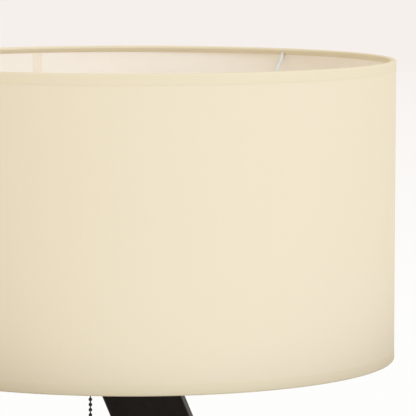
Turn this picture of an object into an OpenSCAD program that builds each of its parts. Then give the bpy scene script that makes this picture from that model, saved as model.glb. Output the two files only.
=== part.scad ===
// Tripod floor lamp: three leaning boards on a steel hub, a pull-chain socket,
// a wire harp and a fabric drum shade.
// Millimetres, +Z up. The origin is on the floor, in the middle of the lamp's footprint.
// The long leg leans towards +X, and the lamp's upright axis stands at x = axis_x, y = 0.

/* [Overall] */
// Height from the floor to the shade's top rim
lamp_h = 1475; // [1400:5:1550]

/* [Shade] */
// Outside diameter of the fabric drum
shade_d = 445; // [420:5:480]
// Height of the drum
shade_h = 255; // [240:5:280]
// Height of the rim tapes on the outside
tape_h = 9.5; // [8:0.5:12]
// Drop from the top rim to the seat of the spider's washer
spider_drop = 49; // [44:1:54]
// Slope of a spider arm where it dips below the rim
arm_slope = 55; // [45:1:65]
// Direction of the first spider arm, counter-clockwise from +X
arm_turn = 61.1; // [0:0.1:120]

/* [Legs] */
// Lean of each leg from the vertical
leg_lean = 22.9; // [21:0.1:24]
// Width of a leg board
leg_w = 63.6; // [58:0.1:66]
// Thickness of a leg board
leg_t = 22; // [20:1:24]
// Rounding of a board's long edges
leg_arris = 3.5; // [1:0.5:4]
// Drop from the shade's lower rim to the top of the long leg
leg_drop = 14.5; // [12:0.5:18]
// Thickness of the pads under the feet
pad_t = 3; // [2:0.5:4]

/* [Hub] */
// Height of the steel hub plates
hub_h = 92; // [80:1:110]
// Thickness of a hub plate
hub_t = 4; // [3:0.5:5]
// Depth that a hub plate reaches into its leg
hub_bite = 34; // [30:1:38]

/* [Socket and bulb] */
// Outside diameter of the socket's shell
socket_d = 34.8; // [34.4:0.1:35.2]
// Length of the socket above the harp saddle
socket_h = 70; // [68:1:72]
// Diameter of the bulb's globe
bulb_d = 60; // [56:1:64]

/* [Pull chain] */
// Direction in which the chain leaves the socket, counter-clockwise from +X
chain_turn = 212.7; // [205:0.1:220]
// Distance of the hanging chain from the lamp's axis
chain_reach = 40.3; // [38:0.1:42]
// Spacing of the beads
bead_pitch = 4.47; // [4.2:0.01:4.6]
// Diameter of a bead
bead_d = 3.2; // [2.8:0.1:3.4]
// Travel of the chain when it is pulled
pull_travel = 10; // [8:0.5:11]

/* [Hidden] */

$fn = 96;
eps = 0.01;

// Shade: radii from the outside in, and the two rims
shade_r = shade_d / 2;
fabric_t = 0.8;
liner_t = 1;
liner_r = shade_r - fabric_t;
liner_in_r = liner_r - liner_t;
tape_t = 0.5;
tape_in_h = 6;
wire_r = 1.5;
arm_notch_r = 2.2;
wire_gap = 0.1;
ring_r = liner_in_r - wire_r - wire_gap;
shade_top_z = lamp_h;
shade_low_z = lamp_h - shade_h;
ring_depth = tape_t + wire_gap + wire_r;

// Legs: every board's centreline meets the lamp's axis at cross_z
cross_z = shade_low_z - leg_drop;
leg_slope = tan(leg_lean);
cut_w = leg_w / cos(leg_lean);
leg_run = cross_z / cos(leg_lean) + leg_w;
leg_turns = [0, 120, 240];

// The two short legs stop where three boards still fit side by side round the axis
board_gap = 1;
join_in = leg_t / 2 / tan(60) + board_gap;
join_z = cross_z - (join_in + cut_w / 2) / leg_slope;

// Hub plates, and the two bolts in each leg
hub_top_z = join_z - 8;
hub_low_z = hub_top_z - hub_h;
hub_bar_r = 6;
kerf_gap = 0.2;
bolt_r = 3;
bolt_hole_r = 3.2;
bolt_inset = 19;
bolt_zs = [hub_low_z + bolt_inset, hub_top_z - bolt_inset];
bolt_head_r = 5.6;
bolt_head_h = 3.2;
washer_r = 7;
washer_t = 1;
cap_nut_flats = 10;
cap_nut_h = 5;

// The lamp's axis stands off the origin, so that the footprint is centred on it
foot_reach = (cross_z - pad_t) * leg_slope;
arris_run = leg_arris / cos(leg_lean);
long_reach = foot_reach + cut_w / 2;
short_reach = (foot_reach + cut_w / 2 - arris_run) * cos(60) + (leg_t / 2 - leg_arris) * sin(60)
    + sqrt(pow(arris_run * cos(60), 2) + pow(leg_arris * sin(60), 2));
axis_x = (short_reach - long_reach) / 2;

// Head: the stack on the long leg's top
stem_r = 4.85;
stem_hole_r = 3.6;
insert_r = 7;
insert_h = 20;
cord_z = cross_z - 36;
cord_hole_r = 4.6;
grommet_r = 3.25;
ring_z = cross_z;
ring_t = 3;
check_ring_r = 16;
saddle_z = shade_low_z;
saddle_t = 1.6;
saddle_w = 16;
nut_z = saddle_z + saddle_t;
nut_h = 3.5;
nut_flats = 17;
socket_z = nut_z + nut_h;
cap_h = 20;

// Harp: ears, ferrules and wire
ear_x = 24;
ear_top_z = saddle_z + 18;
shoulder_z = saddle_z + 6;
ferrule_x = 27;
ferrule_r = 6.5;
ferrule_in_r = 5.5;
ferrule_h = 12;
harp_wire_r = 1.6;
harp_foot_x = 28;
harp_wide_x = 57;
harp_bend_z = saddle_z + 38;
harp_belly_z = saddle_z + 98;
seat_z = shade_top_z - spider_drop;
seat_h = 6;
seat_r = 6;
stud_r = 3;
stud_h = 15;
finial_bore_r = 3.06;
spider_washer_t = 1.6;
spider_washer_r = 13;

// Socket
socket_r = socket_d / 2;
socket_top_z = saddle_z + socket_h;
shell_t = 0.8;
liner_paper_t = 0.6;
core_r = socket_r - shell_t - liner_paper_t - 0.1;
core_top_z = socket_top_z - 27;
screw_in_r = 13.3;
screw_t = 0.5;
outlet_z = socket_z + 26;
rotor_r = pull_travel / (PI / 2);
rotor_w = 6;
rotor_z = outlet_z - rotor_r;
pin_r = 1.2;
bell_bore_r = 2.6;
bell_wall = 1;
bell_tail = 11;
bell_lip_z = outlet_z - bell_tail;

// Pull chain
link_r = 0.55;
bead_count = 23;
lead_beads = 2;
chain_top_z = bell_lip_z - 1.5;
chain_end_z = chain_top_z - (bead_count - 1) * bead_pitch;

// Bulb
bulb_r = bulb_d / 2;
bulb_base_r = 13;
bulb_tip_z = socket_top_z - 26;
bulb_skirt_z = socket_top_z - 1;
bulb_crown_z = bulb_tip_z + 108;
glass_t = 1;

// ---------- Shared shapes ----------

module on_axis() {
    translate([axis_x, 0, 0]) children();
}

module ring(r_out, r_in, z_low, h) {
    translate([0, 0, z_low])
    difference() {
        cylinder(r = r_out, h = h);
        translate([0, 0, -eps]) cylinder(r = r_in, h = h + 2 * eps);
    }
}

module rounded_rect(w, t, r) {
    square([w - 2 * r, t], center = true);
    square([w, t - 2 * r], center = true);
    for (sx = [-1, 1], sy = [-1, 1])
        translate([sx * (w / 2 - r), sy * (t / 2 - r)]) circle(r = r);
}

// Distance of a board's inner edge from the lamp's axis at height z
function inner_edge(z) = (cross_z - z) * leg_slope - cut_w / 2;

// A point on a cubic curve with end points a, d and handles b, c
function bezier(a, b, c, d, t) =
    pow(1 - t, 3) * a + 3 * pow(1 - t, 2) * t * b + 3 * (1 - t) * t * t * c + pow(t, 3) * d;

function curve(a, b, c, d, steps, first = 0) = [for (i = [first:steps]) bezier(a, b, c, d, i / steps)];

// A rounded corner: points from `reach` before it to `reach` after it
function corner(from, at, to, reach, steps) =
    let (a = at + (from - at) / norm(from - at) * reach, b = at + (to - at) / norm(to - at) * reach)
    [for (i = [0:steps]) let (t = i / steps) (1 - t) * (1 - t) * a + 2 * (1 - t) * t * at + t * t * b];

function unit(v) = v / norm(v);

// Direction of a path of [x, z] points at point i
function heading(path, i) =
    let (last = len(path) - 1)
    unit(path[min(i + 1, last)] - path[max(i - 1, 0)]);

// A round rod of radius r that follows a path of [x, z] points in the XZ plane
module bent_rod(path, r, sides = 10) {
    last = len(path) - 1;
    points = [for (i = [0:last], k = [0:sides - 1])
        let (h = heading(path, i), c = r * cos(360 * k / sides), s = r * sin(360 * k / sides))
        [path[i][0] - h[1] * c, s, path[i][1] + h[0] * c]];
    skin = [for (i = [0:last - 1], k = [0:sides - 1])
        let (a = i * sides + k, b = i * sides + (k + 1) % sides)
        [a, b, b + sides, a + sides]];
    first_cap = [[for (k = [sides - 1:-1:0]) k]];
    last_cap = [[for (k = [0:sides - 1]) last * sides + k]];
    polyhedron(points, concat(skin, first_cap, last_cap));
}

// ---------- Legs and feet ----------

// Outline of a hub plate in the plane of its leg, grown by `more` at its top, foot and outer edge
module hub_outline(more) {
    high = hub_top_z + more;
    low = hub_low_z - more;
    reach = hub_bite + more;
    polygon([[0, low], [0, high], [inner_edge(high) + reach, high], [inner_edge(low) + reach, low]]);
}

module at_leg_bolts() {
    for (z = bolt_zs)
        translate([inner_edge(z) + hub_bite / 2, 0, z]) rotate([90, 0, 0]) children();
}

module leg_board(turn, top_z) {
    on_axis() rotate([0, 0, turn]) difference() {
        intersection() {
            translate([0, 0, cross_z]) rotate([0, -leg_lean, 0])
                translate([0, 0, -leg_run]) linear_extrude(leg_run + leg_w) rounded_rect(leg_w, leg_t, leg_arris);
            translate([-leg_w, -leg_t, pad_t]) cube([foot_reach + 2 * leg_w, 2 * leg_t, top_z - pad_t]);
        }
        rotate([90, 0, 0]) linear_extrude(hub_t + 2 * kerf_gap, center = true) hub_outline(1);
        at_leg_bolts() cylinder(r = bolt_hole_r, h = 2 * leg_t, center = true);
    }
}

module long_leg() color("#1d1c19")
    difference() {
        leg_board(leg_turns[0], cross_z);
        on_axis() {
            translate([0, 0, cross_z - insert_h]) cylinder(r = insert_r, h = insert_h + 1);
            translate([0, 0, cord_z - cord_hole_r]) cylinder(r = cord_hole_r, h = cross_z - cord_z);
            translate([0, 0, cord_z]) rotate([-90, 0, 0]) cylinder(r = cord_hole_r, h = leg_t);
        }
    }

module back_leg() color("#1d1c19") leg_board(leg_turns[1], join_z);

module front_leg() color("#1d1c19") leg_board(leg_turns[2], join_z);

module foot_pad(turn) color("#2a2a2a")
    on_axis() rotate([0, 0, turn]) translate([foot_reach, 0, 0])
        linear_extrude(pad_t) rounded_rect(cut_w - 6, leg_t - 4, 3);

module long_leg_pad() foot_pad(leg_turns[0]);

module back_leg_pad() foot_pad(leg_turns[1]);

module front_leg_pad() foot_pad(leg_turns[2]);

// ---------- Hub and its fasteners ----------

module leg_hub() color("#202020")
    on_axis() difference() {
        union() {
            for (turn = leg_turns)
                rotate([90, 0, turn]) linear_extrude(hub_t, center = true) hub_outline(0);
            translate([0, 0, hub_low_z]) cylinder(r = hub_bar_r, h = hub_h);
        }
        for (turn = leg_turns)
            rotate([0, 0, turn]) at_leg_bolts() cylinder(r = bolt_hole_r, h = 2 * leg_t, center = true);
    }

// Puts its children on every leg bolt's axis, with +Z towards the bolt's head
module at_all_bolts() {
    on_axis() for (turn = leg_turns) rotate([0, 0, turn]) at_leg_bolts() children();
}

module hub_bolts() color("#8d8d8d")
    at_all_bolts() {
        face = leg_t / 2 + washer_t;
        translate([0, 0, -face - 6]) cylinder(r = bolt_r, h = 2 * face + 6 + eps);
        difference() {
            translate([0, 0, face]) rotate_extrude() polygon([
                [0, 0], [bolt_head_r, 0], [bolt_head_r, 1.2], [bolt_head_r - 1.2, bolt_head_h - 0.4],
                [bolt_head_r - 2.4, bolt_head_h], [0, bolt_head_h]]);
            translate([0, 0, face + bolt_head_h - 2]) cylinder(r = 2.3, h = 3, $fn = 6);
        }
    }

module hub_washers() color("#8d8d8d")
    at_all_bolts() {
        ring(washer_r, bolt_hole_r, leg_t / 2, washer_t);
        ring(washer_r, bolt_hole_r, -leg_t / 2 - washer_t, washer_t);
    }

module hub_cap_nuts() color("#8d8d8d")
    at_all_bolts() translate([0, 0, -leg_t / 2 - washer_t]) mirror([0, 0, 1]) difference() {
        union() {
            cylinder(r = cap_nut_flats / 2 / cos(30), h = cap_nut_h, $fn = 6);
            translate([0, 0, cap_nut_h - 0.5]) intersection() {
                sphere(r = cap_nut_flats / 2 - 0.2);
                cylinder(r = cap_nut_flats, h = cap_nut_flats);
            }
        }
        translate([0, 0, -1]) cylinder(r = bolt_r + 0.05, h = 7.5);
    }

// ---------- Stem on the long leg ----------

module cord_grommet() color("#151515")
    on_axis() translate([0, leg_t / 2, cord_z]) rotate([-90, 0, 0]) {
        difference() {
            union() {
                translate([0, 0, -6]) cylinder(r = cord_hole_r, h = 6 + eps);
                cylinder(r = cord_hole_r + 2.6, h = 1.6);
            }
            translate([0, 0, -7]) cylinder(r = grommet_r, h = 10);
        }
    }

module stem_insert() color("#b08d57") on_axis() ring(insert_r, stem_r, cross_z - insert_h, insert_h);

module stem_tube() color("#b9b9b5")
    on_axis() ring(stem_r, stem_hole_r, cross_z - insert_h + 1, socket_z + 8 - cross_z + insert_h);

module check_ring() color("#3a2c22")
    on_axis() difference() {
        translate([0, 0, ring_z]) rotate_extrude() polygon([
            [0, 0], [check_ring_r, 0], [check_ring_r, 1.6], [check_ring_r - 1.4, ring_t], [0, ring_t]]);
        translate([0, 0, ring_z - 1]) cylinder(r = stem_r + 0.15, h = ring_t + 2);
    }

module stem_sleeve() color("#3a2c22")
    on_axis() ring(8, stem_r + 0.15, ring_z + ring_t, saddle_z - ring_z - ring_t);

module stem_lock_nut() color("#b9b9b5")
    on_axis() translate([0, 0, nut_z]) difference() {
        cylinder(r = nut_flats / 2 / cos(30), h = nut_h, $fn = 6);
        translate([0, 0, -1]) cylinder(r = stem_r, h = nut_h + 2);
    }

// ---------- Harp ----------

module saddle_ear() {
    translate([ear_x, -7, saddle_z]) cube([saddle_t, 14, shoulder_z - saddle_z]);
    translate([ear_x, -4, saddle_z]) cube([saddle_t, 8, ear_top_z - saddle_z]);
}

module harp_saddle() color("#c9c9c4")
    on_axis() difference() {
        union() {
            translate([-ear_x - saddle_t, -saddle_w / 2, saddle_z])
                cube([2 * (ear_x + saddle_t), saddle_w, saddle_t]);
            saddle_ear();
            mirror([1, 0, 0]) saddle_ear();
        }
        translate([0, 0, saddle_z - 1]) cylinder(r = stem_r + 0.15, h = saddle_t + 2);
    }

harp_path = concat(
    [[harp_foot_x, shoulder_z + 1], [harp_foot_x, ear_top_z]],
    curve([harp_foot_x, harp_bend_z - 4], [harp_foot_x, harp_bend_z + 22],
        [harp_wide_x, harp_bend_z + 20], [harp_wide_x, harp_belly_z], 14),
    curve([harp_wide_x, harp_belly_z], [harp_wide_x, harp_belly_z + 62],
        [harp_foot_x + 10, seat_z - seat_h / 2 - 2], [seat_r + 0.2, seat_z - seat_h / 2], 18, 1));

module harp() color("#c9c9c4")
    on_axis() {
        bent_rod(harp_path, harp_wire_r);
        mirror([1, 0, 0]) bent_rod(harp_path, harp_wire_r);
    }

module harp_seat() color("#c9c9c4")
    on_axis() {
        translate([0, 0, seat_z - seat_h]) cylinder(r = seat_r, h = seat_h);
        translate([0, 0, seat_z - eps]) cylinder(r = stud_r, h = stud_h + eps);
    }

module ferrule(side) color("#c9c9c4")
    on_axis() translate([side * ferrule_x, 0, 0]) ring(ferrule_r, ferrule_in_r, shoulder_z, ferrule_h);

module left_ferrule() ferrule(-1);

module right_ferrule() ferrule(1);

// ---------- Socket and switch ----------

// Turns its children so that +X is the way the chain leaves the socket
module chain_side() {
    on_axis() rotate([0, 0, chain_turn]) children();
}

module outlet_hole(r) {
    translate([8, 0, outlet_z]) rotate([0, 90, 0]) cylinder(r = r, h = socket_r);
}

module socket_cap() color("#6d5334")
    on_axis() translate([0, 0, socket_z]) rotate_extrude() polygon([
        [stem_r + 0.05, 0], [9, 0], [11, 2.2], [15.4, 5.4], [socket_r + 1, 11], [socket_r + 1, cap_h],
        [socket_r + 0.05, cap_h], [socket_r + 0.05, 11.6], [14.8, 6.4], [10.5, 3.2], [stem_r + 0.05, 3]]);

module socket_shell() color("#6d5334")
    difference() {
        on_axis() {
            ring(socket_r, socket_r - shell_t, socket_z + 13, socket_top_z - socket_z - 14);
            ring(socket_r + 0.8, socket_r - shell_t, socket_top_z - 1.6, 1.6);
        }
        chain_side() outlet_hole(bell_bore_r + bell_wall + 0.05);
    }

module socket_liner() color("#d8cdb0")
    difference() {
        on_axis() ring(socket_r - shell_t - 0.05, socket_r - shell_t - liner_paper_t, socket_z + 14,
            socket_top_z - socket_z - 16);
        chain_side() outlet_hole(bell_bore_r + bell_wall + 0.05);
    }

module socket_core() color("#2b2019")
    chain_side() difference() {
        translate([0, 0, socket_z + 12]) cylinder(r = core_r, h = core_top_z - socket_z - 12);
        translate([0, 0, rotor_z]) cube([2 * rotor_r + 3, rotor_w + 1, 2 * rotor_r + 3], center = true);
        translate([0, 0, rotor_z]) rotate([90, 0, 0]) cylinder(r = pin_r + 0.02, h = 3 * core_r, center = true);
        outlet_hole(bell_bore_r);
        translate([core_r - 4, 0, outlet_z]) rotate([0, 90, 0]) cylinder(r = bell_bore_r + bell_wall + 0.05, h = 5);
    }

module screw_shell() color("#c8a24a")
    on_axis() {
        ring(screw_in_r + screw_t, screw_in_r, core_top_z, socket_top_z - 2 - core_top_z);
        ring(screw_in_r + screw_t, screw_in_r - 3, core_top_z, screw_t);
    }

module centre_contact() color("#c8a24a")
    on_axis() translate([0, 0, core_top_z]) {
        cylinder(r = 4, h = 0.4);
        translate([0, 0, 0.4 - eps]) cylinder(r = 2, h = 0.5);
    }

module switch_rotor() color("#8f6a3c")
    chain_side() translate([0, 0, rotor_z]) rotate([90, 0, 0]) difference() {
        union() {
            for (side = [-1, 1])
                translate([0, 0, side * (rotor_w / 2 - 0.5)]) cylinder(r = rotor_r + 0.8, h = 1, center = true);
            cylinder(r = rotor_r - bead_d / 2 - 0.2, h = rotor_w, center = true);
        }
        cylinder(r = pin_r + 0.05, h = rotor_w + 1, center = true);
        for (quarter = [0:3])
            rotate(90 * quarter) translate([3.1, 0, 0]) cylinder(r = 0.6, h = rotor_w + 1, center = true);
    }

module rotor_pin() color("#b9b9b5")
    chain_side() translate([0, 0, rotor_z]) rotate([90, 0, 0]) cylinder(r = pin_r, h = 2 * core_r - 6, center = true);

// The chain's outlet: a stub from the socket, a quarter bend and a flared mouth
module bell_mouth() color("#6d5334")
    chain_side() {
        bend = 5;
        turn_x = chain_reach - bend;
        mouth_top = outlet_z - bend;
        mouth_h = mouth_top - bell_lip_z;
        translate([core_r - 3.9, 0, outlet_z]) rotate([0, 90, 0])
            ring(bell_bore_r + bell_wall, bell_bore_r, 0, turn_x - core_r + 3.9);
        translate([turn_x, 0, mouth_top]) rotate([90, 0, 0]) rotate_extrude(angle = 90)
            translate([bend, 0]) difference() {
                circle(r = bell_bore_r + bell_wall);
                circle(r = bell_bore_r);
            }
        translate([chain_reach, 0, bell_lip_z]) rotate_extrude() polygon([
            [bell_bore_r, 1.6], [bell_bore_r + 1.4, 0], [bell_bore_r + 2.2, 0], [bell_bore_r + 2.2, 0.6],
            [bell_bore_r + bell_wall, 2.4], [bell_bore_r + bell_wall, mouth_h], [bell_bore_r, mouth_h]]);
    }

// ---------- Pull chain ----------

module beads(top_z, count) {
    for (i = [0:count - 1]) translate([0, 0, top_z - i * bead_pitch]) sphere(d = bead_d, $fn = 32);
    translate([0, 0, top_z - (count - 1) * bead_pitch]) cylinder(r = link_r, h = (count - 1) * bead_pitch);
}

module chain_lead() color("#4a3d2d")
    chain_side() translate([chain_reach, 0, 0]) beads(chain_top_z + lead_beads * bead_pitch, lead_beads);

module pull_chain() color("#4a3d2d")
    chain_side() translate([chain_reach, 0, 0]) beads(chain_top_z, bead_count);

module chain_bell() color("#4a3d2d")
    chain_side() translate([chain_reach, 0, chain_end_z]) rotate_extrude() polygon([
        [0.9, -1.9], [2, -1.9], [2.6, -3.4], [3.1, -8], [4.6, -13], [4.9, -15.2], [4.2, -16.4], [0, -16.8],
        [0, -2.4], [0.9, -2.4]]);

// ---------- Bulb ----------

glass_outline = concat(
    [[bulb_base_r + 0.4, bulb_skirt_z]],
    curve([bulb_base_r + 0.8, bulb_skirt_z + 2], [bulb_base_r + 1, bulb_skirt_z + 20],
        [bulb_r, bulb_crown_z - bulb_r - 28], [bulb_r, bulb_crown_z - bulb_r], 10),
    [for (a = [10:10:80]) [bulb_r * cos(a), bulb_crown_z - bulb_r + bulb_r * sin(a)]]);

module bulb_glass() color("#f4f1ea")
    on_axis() rotate_extrude() polygon(concat(
        glass_outline,
        [[0, bulb_crown_z], [0, bulb_crown_z - glass_t]],
        [for (i = [len(glass_outline) - 1:-1:0]) [glass_outline[i][0] - glass_t, glass_outline[i][1]
            - glass_t * max(0, i - 10) / 8]]));

module bulb_base() color("#c9c9c4")
    on_axis() rotate_extrude() polygon([
        [4.6, bulb_tip_z + 1.2], [9, bulb_tip_z + 3], [bulb_base_r - 0.8, bulb_tip_z + 5],
        [bulb_base_r, bulb_tip_z + 6], [bulb_base_r, bulb_skirt_z], [bulb_base_r - 0.4, bulb_skirt_z],
        [bulb_base_r - 0.4, bulb_tip_z + 6.4], [8.8, bulb_tip_z + 3.6], [4.6, bulb_tip_z + 1.8]]);

module bulb_contact() color("#3b3b3b")
    on_axis() rotate_extrude() polygon([
        [0, bulb_tip_z], [3.2, bulb_tip_z], [4.5, bulb_tip_z + 1], [4.5, bulb_tip_z + 2.4], [0, bulb_tip_z + 2.4]]);

// ---------- Shade ----------

module rim_ring(z) color("#efeee8")
    on_axis() translate([0, 0, z]) rotate_extrude() translate([ring_r, 0]) circle(r = wire_r, $fn = 24);

module top_ring() rim_ring(shade_top_z - ring_depth);

module bottom_ring() rim_ring(shade_low_z + ring_depth);

// A tape folded over a rim: its section runs from the outside, over the wire, down to the liner
module rim_tape() color("#e6dcc0")
    rotate_extrude() polygon([
        [shade_r + tape_t, 0], [shade_r + tape_t, tape_h], [shade_r, tape_h], [shade_r, tape_t],
        [ring_r - wire_r - wire_gap, tape_t], [ring_r - wire_r - wire_gap, tape_t + 2 * wire_r],
        [liner_in_r, tape_t + 2 * wire_r + 1.6], [liner_in_r, tape_in_h], [liner_in_r - tape_t, tape_in_h],
        [liner_in_r - tape_t, tape_t + 2 * wire_r + 1.8],
        [ring_r - wire_r - wire_gap - tape_t, tape_t + 2 * wire_r + 0.2], [ring_r - wire_r - wire_gap - tape_t, 0]]);

// The upper tape is snipped round each spider arm
module top_tape()
    on_axis() difference() {
        translate([0, 0, shade_top_z]) mirror([0, 0, 1]) rim_tape();
        for (third = [0:2]) rotate([0, 0, arm_turn + 120 * third])
            translate([ring_r, 0, shade_top_z - 2 * tape_in_h])
                cylinder(r = arm_notch_r, h = 2 * tape_in_h - ring_depth);
    }

module bottom_tape() on_axis() translate([0, 0, shade_low_z]) rim_tape();

module shade_liner() color("#f3ead6")
    on_axis() ring(liner_r, liner_in_r, shade_low_z + tape_t, shade_h - 2 * tape_t);

module shade_fabric() color("#ebe0c6")
    on_axis() ring(shade_r, liner_r, shade_low_z + tape_t, shade_h - 2 * tape_t);

arm_foot_z = seat_z + spider_washer_t / 2;
arm_top_z = shade_top_z - ring_depth - wire_r - 0.1;
arm_dip_z = arm_top_z - 3;
arm_bend_r = ring_r - (arm_dip_z - arm_foot_z) / tan(arm_slope);
arm_path = concat(
    [[spider_washer_r + 0.1, arm_foot_z]],
    corner([0, arm_foot_z], [arm_bend_r, arm_foot_z], [ring_r, arm_dip_z], 7, 6),
    corner([arm_bend_r, arm_foot_z], [ring_r, arm_dip_z], [ring_r, arm_top_z], 2, 4),
    [[ring_r, arm_top_z]]);

module spider_arms() color("#efeee8")
    on_axis() for (third = [0:2]) rotate([0, 0, arm_turn + 120 * third]) bent_rod(arm_path, wire_r);

module spider_washer() color("#efeee8") on_axis() ring(spider_washer_r, stud_r + 0.3, seat_z, spider_washer_t);

// ---------- Finial ----------

module finial() color("#4a3d2d")
    on_axis() translate([0, 0, seat_z + spider_washer_t]) rotate_extrude() polygon(concat(
        [[finial_bore_r, 0], [7, 0], [7, 1.4], [4.8, 2.6], [4.4, 5], [6, 6]],
        [for (a = [-30:15:75]) [7 * cos(a), 12 + 7 * sin(a)]],
        [[0, 19], [0, 15], [finial_bore_r, 15]]));

long_leg();
back_leg();
front_leg();
leg_hub();
hub_bolts();
hub_washers();
hub_cap_nuts();
long_leg_pad();
back_leg_pad();
front_leg_pad();
cord_grommet();
stem_insert();
stem_tube();
check_ring();
stem_sleeve();
harp_saddle();
stem_lock_nut();
harp();
harp_seat();
left_ferrule();
right_ferrule();
socket_cap();
socket_shell();
socket_liner();
socket_core();
screw_shell();
centre_contact();
switch_rotor();
rotor_pin();
bell_mouth();
chain_lead();
pull_chain();
chain_bell();
bulb_glass();
bulb_base();
bulb_contact();
spider_washer();
spider_arms();
top_ring();
bottom_ring();
shade_liner();
shade_fabric();
top_tape();
bottom_tape();
finial();
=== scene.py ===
"""Looks of a tripod floor lamp: a fabric drum shade, a pull-chain socket inside a wire harp,
and three stained boards on a welded hub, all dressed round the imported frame, in metres."""

import logging
import math
from dataclasses import dataclass
from enum import Enum
from functools import cache, reduce
from typing import Callable, Sequence

import bmesh
import bpy
from mathutils import Matrix, Vector


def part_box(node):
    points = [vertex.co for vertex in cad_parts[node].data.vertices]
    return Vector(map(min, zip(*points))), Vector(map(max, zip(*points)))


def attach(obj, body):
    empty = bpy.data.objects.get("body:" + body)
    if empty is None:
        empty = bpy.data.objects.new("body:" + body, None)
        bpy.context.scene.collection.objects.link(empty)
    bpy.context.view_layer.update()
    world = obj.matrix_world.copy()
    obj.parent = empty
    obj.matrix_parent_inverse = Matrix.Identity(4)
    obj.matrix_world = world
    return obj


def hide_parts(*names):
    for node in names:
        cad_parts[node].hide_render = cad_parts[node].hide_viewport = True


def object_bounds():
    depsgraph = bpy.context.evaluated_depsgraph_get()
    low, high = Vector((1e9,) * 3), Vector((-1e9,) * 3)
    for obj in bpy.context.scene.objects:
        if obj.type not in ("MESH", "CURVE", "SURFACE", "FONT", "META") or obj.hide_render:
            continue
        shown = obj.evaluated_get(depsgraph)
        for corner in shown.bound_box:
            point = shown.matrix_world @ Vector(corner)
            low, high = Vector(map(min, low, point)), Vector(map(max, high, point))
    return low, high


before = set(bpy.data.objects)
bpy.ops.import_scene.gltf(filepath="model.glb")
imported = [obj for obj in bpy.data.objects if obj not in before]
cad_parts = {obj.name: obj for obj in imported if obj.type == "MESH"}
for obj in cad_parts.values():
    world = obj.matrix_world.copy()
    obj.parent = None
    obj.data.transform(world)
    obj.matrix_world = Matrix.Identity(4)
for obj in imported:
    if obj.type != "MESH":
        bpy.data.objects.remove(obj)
cad_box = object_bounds()

LOG = logging.getLogger("lamp")
MM = 0.001
SHARP_TURN = math.radians(40)

Outlet = bpy.types.NodeSocket
Piece = bpy.types.Object
Colour = tuple[float, float, float]
Outline = list[tuple[float, float]]


def in_scene(name: str, data: bpy.types.ID) -> Piece:
    """Puts a new object that holds the data in the scene."""
    made = bpy.data.objects.new(name, data)
    bpy.context.scene.collection.objects.link(made)
    return made


class Body(str, Enum):
    """The bodies that move apart from each other."""

    ROOT = "root"
    SHADE = "shade"
    FINIAL = "finial"
    BULB = "bulb"
    LEFT_FERRULE = "left_ferrule"
    RIGHT_FERRULE = "right_ferrule"
    CHAIN_LEAD = "chain_lead"
    PULL_CHAIN = "pull_chain"


class Slot(str, Enum):
    """The record's material slots."""

    WOOD = "stained_wood"
    BLACK_STEEL = "black_steel"
    ZINC = "zinc_steel"
    RUBBER = "pad_rubber"
    BRASS = "plain_brass"
    BRONZE = "bronze_paint"
    NICKEL = "nickel_plate"
    ANTIQUE = "antique_brass"
    CARD = "liner_card"
    PHENOLIC = "dark_phenolic"
    CHAIN = "chain_bronze"
    OPAL = "opal_glass"
    ALUMINIUM = "bulb_aluminium"
    WHITE_WIRE = "white_wire"
    STYRENE = "shade_styrene"
    CLOTH = "shade_cloth"
    TAPE = "tape_cloth"


# ---------- Node graphs ----------


class NodeGraph:
    """Adds nodes to a tree and feeds their inputs."""

    def __init__(self, tree: bpy.types.NodeTree) -> None:
        """Holds the tree.

        Args:
            tree: The shader or geometry tree to add to.
        """
        self.tree = tree

    def add(self, kind: str, feeds: dict | None = None, **settings: object) -> bpy.types.Node:
        """Adds one node.

        Args:
            kind: Blender's name of the node.
            feeds: A value or an output socket for each input, by the input's name or number.
            settings: The node's own settings.

        Returns:
            The new node.
        """
        node = self.tree.nodes.new(kind)
        for label, value in settings.items():
            setattr(node, label, value)
        for label, value in (feeds or {}).items():
            if isinstance(value, Outlet):
                self.tree.links.new(value, node.inputs[label])
            else:
                node.inputs[label].default_value = value
        return node

    def put(self, kind: str, feeds: dict | None = None, **settings: object) -> Outlet:
        """Adds one node as add does, and gives its first output."""
        return self.add(kind, feeds, **settings).outputs[0]

    def math(self, operation: str, *terms: object) -> Outlet:
        """Adds a Math node with its values or sockets in order, and gives its result."""
        return self.put("ShaderNodeMath", dict(enumerate(terms)), operation=operation)

    def times(self, first: object, *others: object) -> Outlet:
        """Multiplies the values or sockets, one after the other."""
        return reduce(lambda product, term: self.math("MULTIPLY", product, term), others, first)

    def vector(self, operation: str, *terms: object) -> Outlet:
        """Adds a Vector Math node with its terms in order, and gives its vector."""
        return self.put("ShaderNodeVectorMath", dict(enumerate(terms)), operation=operation)

    def length(self, vector: Outlet) -> Outlet:
        """Gives the length of a vector."""
        return self.add("ShaderNodeVectorMath", {0: vector}, operation="LENGTH").outputs["Value"]

    def xyz(self, *parts: object) -> Outlet:
        """Joins x, y and z into a vector; what is left out is 0."""
        return self.put("ShaderNodeCombineXYZ", dict(enumerate(parts)))

    def level(self, value: object, low: object, high: object, to_low: object = 0.0,
              to_high: object = 1.0, smooth: bool = False) -> Outlet:
        """Maps a value from one range to another.

        Args:
            value: What is mapped.
            low: The value that gives to_low.
            high: The value that gives to_high.
            to_low: Lowest result.
            to_high: Highest result.
            smooth: Eases both ends.

        Returns:
            The result's socket.
        """
        return self.put(
            "ShaderNodeMapRange",
            {"Value": value, "From Min": low, "From Max": high, "To Min": to_low, "To Max": to_high},
            interpolation_type="SMOOTHSTEP" if smooth else "LINEAR")


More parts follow.
